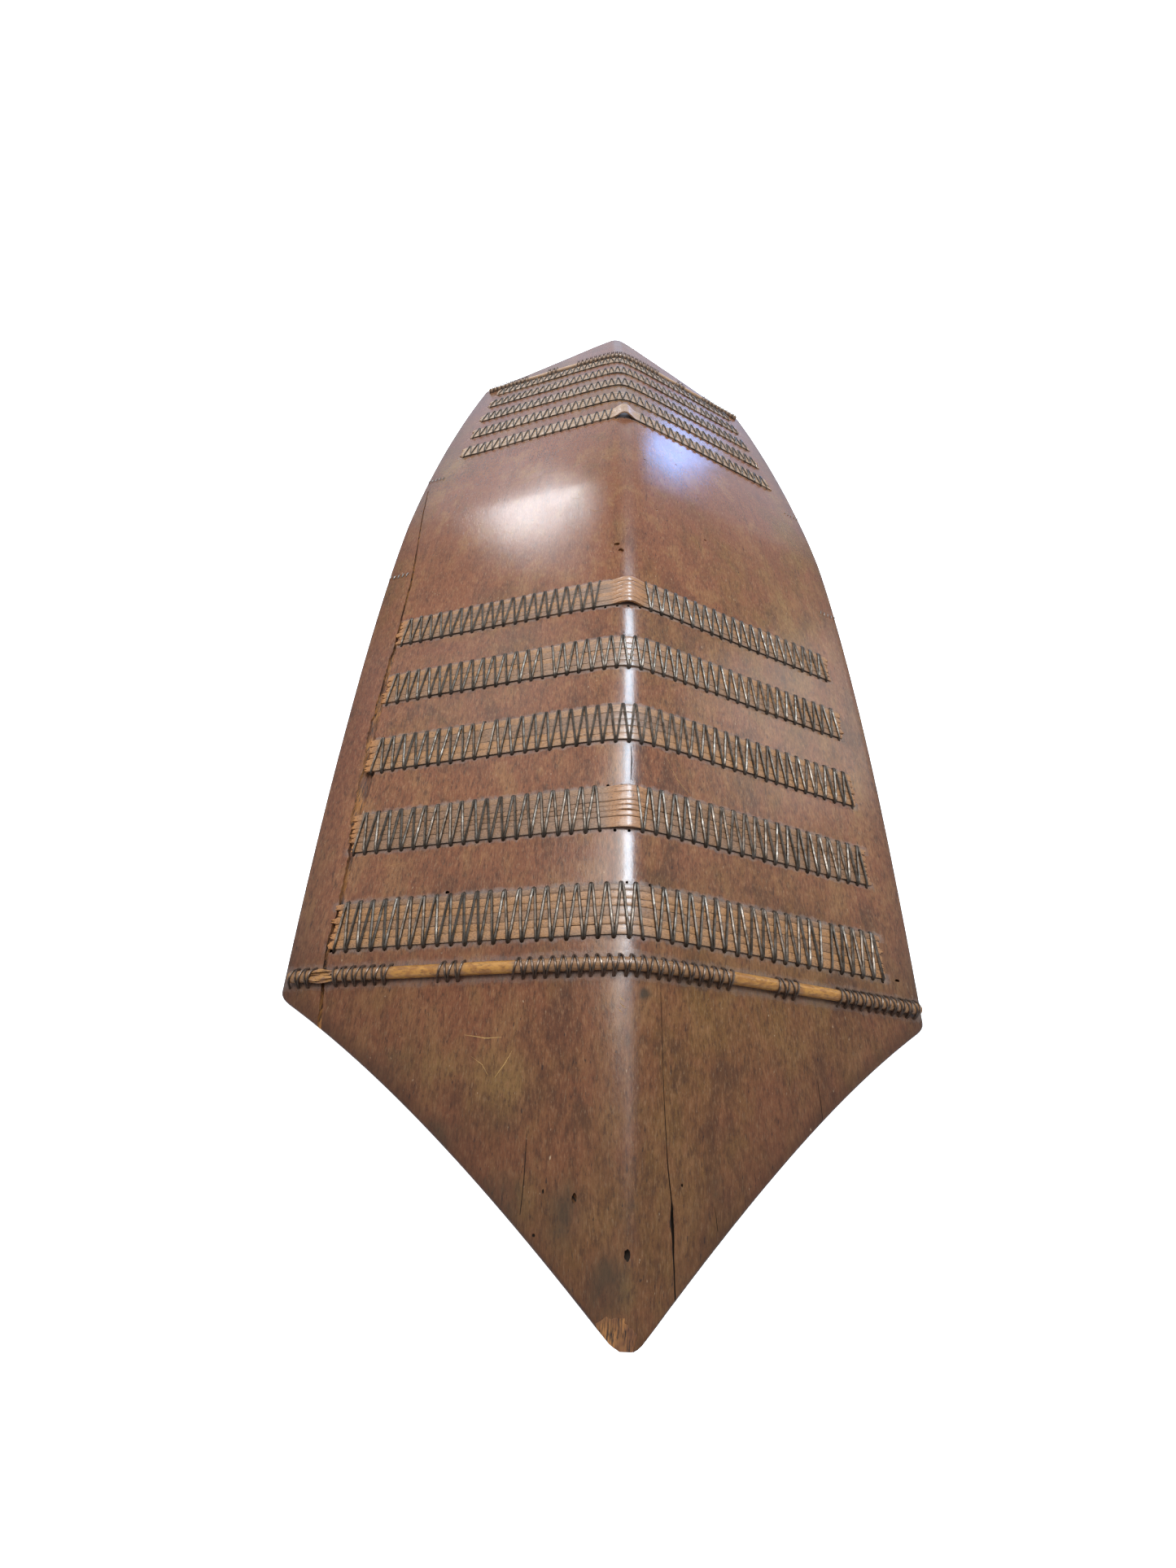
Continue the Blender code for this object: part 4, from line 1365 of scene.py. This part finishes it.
class SHIELD_OT_stitch_edges(bpy.types.Operator):
    """Stitches short rows of pale wire at the long edges"""

    bl_idname = "shield.stitch_edges"
    bl_label = "Stitch the edges"

    def execute(self, context):
        form = Form(context.scene)
        canes = form.canes
        pale = metal_material("pale wire", canes.pale, (0.190, 0.160, 0.135), (0.480, 0.450, 0.410), 0.4)
        for end in ENDS:
            for side in SIDES:
                mesh = to_mesh(wire_shape(stitch_row(form, end, side), canes.stitch_wire, WIRE_SIDES))
                nodes = (f"edge_stitches_{end}_{side}",)
                new_piece(f"edge_stitch_{end}_{side}", mesh, (pale,), nodes)
        return {"FINISHED"}


# Soft rectangular lights: place, aim, size, watts and colour
LIGHTS = {
    "window": ((-0.97, 2.08, 1.03), (-0.083, -0.031, 0.1), (0.52, 0.33), 9.0, (0.93, 0.96, 1)),
    "blue window": ((0.99, 2.95, 0.42), (0.058, 0.112, 0.1), (0.36, 0.38), 3.3, (0.24, 0.45, 1.0)),
    "overhead": ((0.36, 1.00, 2.65), (0.36, 0.60, 0.1), (0.70, 2.40), 105, (0.66, 0.84, 1)),
    "overhead near": ((0.40, -0.75, 2.65), (0.30, -0.50, 0.1), (0.60, 1.10), 6, (0.95, 0.96, 1)),
    "right window": ((2.09, 1.07, 1.10), (0.125, -0.26, 0.1), (1.0, 0.8), 5.6, (1, 0.98, 0.96)),
    "left window": ((-1.67, 1.34, 1.75), (-0.09, -0.24, 0.1), (1.0, 0.8), 4, (1, 0.96, 0.92)),
    "key": ((-0.50, 0.30, 3.10), (0, -0.1, 0.1), (1.8, 1.8), 77, (1, 0.95, 0.90)),
    "far wall": ((0, 6, 0.30), (0, 0, 0.1), (8.0, 2.2), 22, (0.60, 0.73, 1)),
}
SKY_COLOUR = (0.78, 0.87, 1, 1)
CAMERA_PLACE = (-0.04403552, -0.53522889, BOARD_HIGH.z + 0.24917331)
CAMERA_TURN = (34.8348, -4.8708, 1.5867)
CAMERA_LENS = 12.32
SENSOR_WIDTH = 36
FLOOR_RIM = 0.08


def pale_floor(stage):
    """A wide plain floor whose rim is turned up."""
    shape = bmesh.new()
    bmesh.ops.create_grid(shape, x_segments=1, y_segments=1, size=stage.floor_size / 2)
    rim = [edge for edge in shape.edges if edge.is_boundary]
    for thing in bmesh.ops.extrude_edge_only(shape, edges=rim)["geom"]:
        if isinstance(thing, bmesh.types.BMVert):
            thing.co.z += stage.floor_size * FLOOR_RIM
    floor = link("floor", to_mesh(shape, "floor"))
    paint = Paint("pale floor")
    floor.data.materials.append(
        paint.finish(
            (*stage.floor_colour, 1), 0.9, None, specular_ior_level=0.1, emission_color=(1, 1, 1, 1),
            emission_strength=stage.floor_glow,
        )
    )
    floor.visible_glossy = False
    return floor


class SHIELD_OT_set_stage(bpy.types.Operator):
    """Sets the pale floor, the soft lights, the room and the camera"""

    bl_idname = "shield.set_stage"
    bl_label = "Set the stage"

    def execute(self, context):
        scene = context.scene
        floor = pale_floor(scene.shield_stage)
        world = bpy.data.worlds.new("room")
        world.use_nodes = True
        sky = world.node_tree.nodes["Background"].inputs
        sky["Color"].default_value = SKY_COLOUR
        sky["Strength"].default_value = scene.shield_stage.sky
        scene.world = world
        for name, (place, aim, size, watts, colour) in LIGHTS.items():
            data = bpy.data.lights.new(name, "AREA")
            data.shape = "RECTANGLE"
            data.size, data.size_y = size
            data.energy = watts
            data.color = colour
            light = link(name, data)
            light.location = place
            light.rotation_euler = (Vector(place) - Vector(aim)).to_track_quat("Z", "Y").to_euler()
            light.visible_camera = False
        data = bpy.data.cameras.new("camera")
        data.lens = CAMERA_LENS
        data.sensor_width = SENSOR_WIDTH
        camera = link("camera", data)
        camera.location = CAMERA_PLACE
        camera.rotation_euler = [math.radians(degrees) for degrees in CAMERA_TURN]
        scene.camera = camera
        scene.view_settings.view_transform = "Standard"
        return {"FINISHED"}


class SHIELD_PT_panel(bpy.types.Panel):
    """The shield's settings and steps"""

    bl_label = "Shield"
    bl_space_type = "VIEW_3D"
    bl_region_type = "UI"
    bl_category = "Shield"

    def draw(self, context):
        for group, operators in PANEL_PARTS:
            box = self.layout.box()
            held = getattr(context.scene, group)
            for name in held.bl_rna.properties.keys():
                if name not in ("rna_type", "name"):
                    box.prop(held, name)
            for operator in operators:
                box.operator(operator)


PANEL_PARTS = (
    ("shield_board", ("shield.carve_board",)),
    ("shield_bands", ("shield.lay_bands", "shield.lace_bands")),
    ("shield_cane", ("shield.lay_canes", "shield.bind_canes", "shield.stitch_edges")),
    ("shield_stage", ("shield.set_stage",)),
)
GROUPS = {
    "shield_board": ShieldBoardSettings,
    "shield_bands": ShieldBandSettings,
    "shield_cane": ShieldCaneSettings,
    "shield_stage": ShieldStageSettings,
}
CLASSES = (
    *GROUPS.values(),
    SHIELD_OT_carve_board,
    SHIELD_OT_lay_bands,
    SHIELD_OT_lace_bands,
    SHIELD_OT_lay_canes,
    SHIELD_OT_bind_canes,
    SHIELD_OT_stitch_edges,
    SHIELD_OT_set_stage,
    SHIELD_PT_panel,
)


def register():
    for kind in CLASSES:
        bpy.utils.register_class(kind)
    for name, group in GROUPS.items():
        setattr(bpy.types.Scene, name, PointerProperty(type=group))


def unregister():
    for name in GROUPS:
        delattr(bpy.types.Scene, name)
    for kind in reversed(CLASSES):
        bpy.utils.unregister_class(kind)


def main():
    register()
    for group, operators in PANEL_PARTS:
        for operator in operators:
            part, step = operator.split(".")
            getattr(getattr(bpy.ops, part), step)()
    bpy.context.view_layer.update()


if __name__ == "__main__":
    main()
